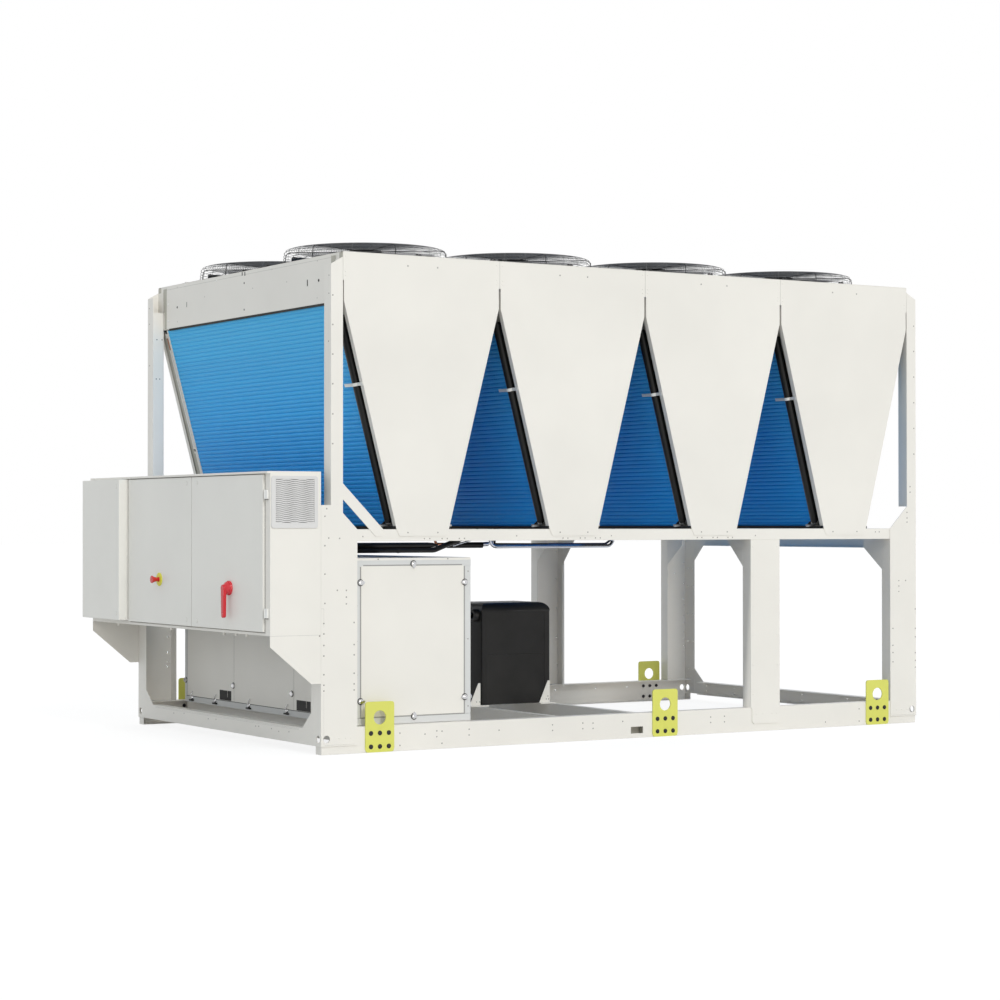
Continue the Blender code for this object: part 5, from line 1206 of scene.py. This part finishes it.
def housing():
    """Aluminium profile frame with ivory panels, a panelled cabinet side and wing latches."""
    low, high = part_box("compressor_housing")
    x1, x2 = X0 + 0.210, X0 + 0.880
    y1, y2 = Y0 + 0.055, Y0 + 2.060
    z1, z2 = 0.130, high.z
    wide = 0.036
    bars, core, panels, shade, corners, knobs, holes, clips, roof, floor = (Shape() for _ in range(10))
    end_latches = ((0.5458, z2 - 0.030, (0, 0, -1)), (0.246, 0.834, (1, 0, 0)), (0.844, 0.830, (-1, 0, 0)),
                   (0.844, 0.2506, (-1, 0, 0)), (0.549, z1 + 0.034, (0, 0, 1)), (0.246, 0.249, (1, 0, 0)))
    side_latches = ((2.043, 0.2507, -1), (1.4266, 0.2521, -1), (0.7271, 0.2488, -1), (0.075, 0.2507, 1),
                    (2.043, 0.834, -1), (1.4266, 0.834, -1), (0.7271, 0.834, -1))
    for y, out in ((y1, -1), (y2, 1)):
        back = y - out * wide
        for z in (z1, z2 - wide):
            bars.box((x1, y, z), (x2, back, z + wide))
        for x in (x1, x2 - wide):
            bars.box((x, y, z1 + wide), (x + wide, back, z2 - wide))
        core.box((x1 + 0.004, y - out * 0.012, z1 + 0.004), (x2 - 0.004, y - out * 0.030, z2 - 0.004))
        panels.box((x1 + wide + 0.0045, y + out * 0.0012, z1 + wide + 0.004),
                   (x2 - wide - 0.0055, y - out * 0.010, z2 - wide - 0.004))
        shade.box((x1 + wide - 0.002, y + out * 0.0002, z1 + wide - 0.002),
                  (x2 - wide + 0.002, y - out * 0.002, z2 - wide + 0.002))
        panels.box((x1 + 0.001, y + out * 0.0004, z2 - 0.0125), (x2 - 0.001, y - out * 0.02, z2 - 0.0004))
        for x in (x1, x2 - 0.052):
            corners.box((x - 0.0002, y + out * 0.0010, z2 - 0.044), (x + 0.052, y - out * 0.004, z2 - 0.0110))
        for x, z, way in end_latches:
            latch(knobs, holes, Vector((X0 + x, y + out * 0.0012, z)), (0, out, 0), way)
    edges = (0.055 + wide, 0.7075, 1.4200, 2.060 - wide)
    for x, out in ((x1, -1), (x2, 1)):
        for z in (z1, z2 - wide):
            bars.box((x, y1 + wide, z), (x - out * wide, y2 - wide, z + wide))
        for start, end in zip(edges, edges[1:]):
            panels.box((x + out * 0.0010, Y0 + start + 0.0016, z1 + wide - 0.001),
                       (x - out * 0.010, Y0 + end - 0.0016, z2 - wide - 0.004))
        shade.box((x + out * 0.0001, y1 + wide - 0.002, z1 + wide - 0.003),
                  (x - out * 0.002, y2 - wide + 0.002, z2 - wide + 0.002))
        for y, z, way in side_latches:
            latch(knobs, holes, Vector((x + out * 0.0012, Y0 + y, z)), (out, 0, 0), (0, way, 0))
    for low_y, high_y in ((1.4530, 1.5997), (0.5163, 0.6745)):
        holes.box((x1 - 0.0014, Y0 + low_y, 0.167), (x1 + 0.004, Y0 + high_y, 0.2205))
        panels.box((x1 - 0.0030, Y0 + low_y + 0.045, 0.185), (x1 + 0.002, Y0 + low_y + 0.047, 0.2205))
    holes.box((x1 - 0.0012, Y0 + 0.09, 0.1625), (x1, Y0 + 2.03, 0.1655))
    for y in (1.958, 1.654, 1.2315, 0.7826):
        clips.dome((x1, Y0 + y, 0.1575), (-1, 0, 0), 0.011, 0.012)
        bend = ((0.004, 0.012, 0.166), (0.008, 0.002, 0.176), (0.004, -0.012, 0.192))
        clips.tube([(x1 - dx, Y0 + y + dy, z) for dx, dy, z in bend], 0.0026, 8)
        holes.box((x1, Y0 + y - 0.022, 0.139), (x1 - 0.012, Y0 + y + 0.022, 0.1465))
    roof.box((x1 + 0.012, y1 + 0.012, z2 - 0.010), (x2 - 0.012, y2 - 0.012, z2 - 0.0002))
    floor.box((x1 + 0.006, y1 + 0.006, z1 + 0.001), (x2 - 0.006, y2 - 0.006, z1 + 0.012))
    for start in (0.270, 0.760):
        floor.box((X0 + start, low.y, 0.030), (X0 + start + 0.060, high.y, z1 - 0.0006))
    bars.piece("housing_profiles", "grey", bevel=0.003, segments=3, replaces=("compressor_housing",))
    core.piece("housing_core", "grey")
    panels.piece("housing_panels", "ivory", bevel=0.0012)
    shade.piece("housing_gaps", "mid_seam")
    corners.piece("housing_corners", "grey", bevel=0.002)
    knobs.piece("housing_latches", "chrome", smooth=30)
    # This piece holds the real openings and also the latches' painted shadow discs.
    holes.piece("housing_openings_and_latch_shadows", "gasket")
    clips.piece("housing_clips", "chrome", smooth=50)
    roof.piece("housing_roof", "ivory", bevel=0.001)
    floor.piece("housing_floor", "ivory", bevel=0.001)
    rivets = ((0.863, 0.5426), (0.864, 0.8842), (0.864, 0.2034), (0.227, 0.545), (0.227, 0.38), (0.227, 0.72))
    for y, out, name in ((y1, -1, "near"), (y2, 1, "far")):
        spots = [(X0 + x, y + out * 0.0004, z) for x, z in rivets]
        spots += [(X0 + x, y + out * 0.001, z2 - 0.0065) for x in (0.3456, 0.7451)]
        dots(f"housing_rivets_{name}", spots, (0, out, 0), 0.0036)


# Evaporator and pipes
def evaporator():
    """Insulated vessel: soft upper edges, lapped sheets with glued joints, and two nozzles."""
    low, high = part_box("evaporator")
    shape = bmesh.new()
    size = Matrix.Diagonal((*(high - low), 1))
    bmesh.ops.create_cube(shape, size=1, matrix=Matrix.Translation((low + high) / 2) @ size)
    for keep, width, segments in ((lambda e: all(v.co.z > high.z - 1e-5 for v in e.verts), 0.052, 8),
                                  (lambda e: abs(e.verts[0].co.z - e.verts[1].co.z) > 0.3, 0.010, 4)):
        edges = [e for e in shape.edges if keep(e)]
        bmesh.ops.bevel(shape, geom=edges, offset=width, segments=segments, profile=0.5, affect="EDGES")
    name = "evaporator_shell"
    finished(mesh_of(shape, name), name, "foam", BODY_OF["evaporator"], 30, replaces=("evaporator",))
    laps, nozzle, screws = Shape(), Shape(), Shape()
    strips = ((high.x - 0.038, high.x - 0.012, 0.0014, low.z + 0.002, high.z - 0.053),
              (low.x + 0.004, low.x + 0.034, 0.0012, low.z + 0.002, high.z - 0.054),
              (low.x + 0.036, high.x - 0.040, 0.0008, 0.4040, 0.4075))
    for y, out in ((low.y, -1), (high.y, 1)):
        for x1, x2, lift, z1, z2 in strips:
            laps.box((x1, y + out * lift, z1), (x2, y - out * 0.002, z2))
        for x, z in ((1.405, 0.152), (1.425, 0.152), (1.857, 0.152), (1.873, 0.152), (1.868, 0.168)):
            screws.dome((X0 + x, y + out * 0.0044, z), (0, out, 0), 0.0034, 0.0014)
    laps.piece("evaporator_laps", "foam", bevel=0.0008)
    for y in (0.934, 1.166):
        nozzle.lathe((low.x, Y0 + y, 0.622), (-1, 0, 0), [(0.036, -0.004), (0.036, 0.020), (0.031, 0.027),
                                                          (0.018, 0.027), (0.018, 0.012), (0, 0.012)], 28)
    nozzle.piece("evaporator_nozzles", "foam", smooth=40)
    screws.piece("bracket_screws", "rivet", smooth=50)


def under_deck_pipes():
    """Joints, branches and bare tubes that run with the two CAD pipes under the trays."""
    mid, top = 1.0, DECK_RAIL_TOP
    back, front = mid + 0.06, mid - 0.05
    sleeve, bare, copper, dark, bands = (Shape() for _ in range(5))

    def bent(shape, points, bend, radius, sides):
        shape.tube(route([at(*p) for p in points], bend), radius, sides)

    taper = [(0, 0), (0.0143, 0), (0.0125, 0.030), (0.006, 0.060), (0, 0.062)]
    sleeve.lathe(at(1.174, mid, 1.0085), (1, 0, 0), taper, 18)
    sleeve.rod(at(1.330, back, 1.0065), at(1.555, back, 1.0065), 0.0165, 18)
    bare.rod(at(1.555, back, 1.010), at(1.592, back, 1.012), 0.0125, 16)
    bent(bare, [(1.592, back, 1.012), (1.64, back, 1.030), (1.66, back, top)], 0.03, 0.0085, 12)
    rise = [(1.305, front, 1.004), (1.345, front, 1.016), (1.420, front, 1.034), (1.46, front, top)]
    bent(bare, rise, 0.03, 0.0050, 10)
    bent(copper, [(1.255, back, top), (1.255, back, 1.013), (1.330, back, 1.013)], 0.016, 0.0075, 10)
    copper.tube([at(1.340, back - 0.03, 1.022), at(1.340, back - 0.03, top)], 0.005, 10)
    bent(sleeve, [(1.60, mid, 1.012), (1.88, mid, 1.010), (1.95, mid, 1.010)], 0.05, 0.0062, 12)
    bent(dark, [(1.95, mid, 1.010), (2.34, mid, 1.010), (2.40, mid, 1.045), (2.40, mid, top)], 0.03, 0.0062, 12)
    sleeve.rod(at(1.60, mid, 1.012), at(1.60, mid, top), 0.0062, 12)
    sleeve.piece("pipe_sleeves", "foam", smooth=40)
    copper.piece("pipe_copper", "copper", smooth=40)
    bare.piece("pipe_bare", "tube", smooth=40)
    dark.piece("pipe_blue", "navy", smooth=40)
    for x in (0.42, 0.70, 0.98):
        bands.lathe(at(x, mid, 0.981), (1, 0, 0), [(0.0145, 0), (0.0158, 0), (0.0158, 0.012), (0.0145, 0.012)], 20)
    bands.piece("pipe_bands", "black", smooth=40)


def main():
    camera()
    studio()
    dress_nodes()
    sheet_metal()
    for number in range(1, MODULES + 1):
        fan_deck(number)
        for sign, name in SIDES:
            fan_guard(number, sign, name)
            rotor(number, sign, name)
        fins(number)
        coil_frames(number)
        headers(number)
        coil_tails(number)
    deck_clips()
    frame_rivets()
    frame_seams()
    post_plates()
    rail_pockets()
    fascia_marks()
    lug_plates()
    cabinet_trim()
    cover()
    switches()
    side_grille()
    housing()
    evaporator()
    under_deck_pipes()


main()
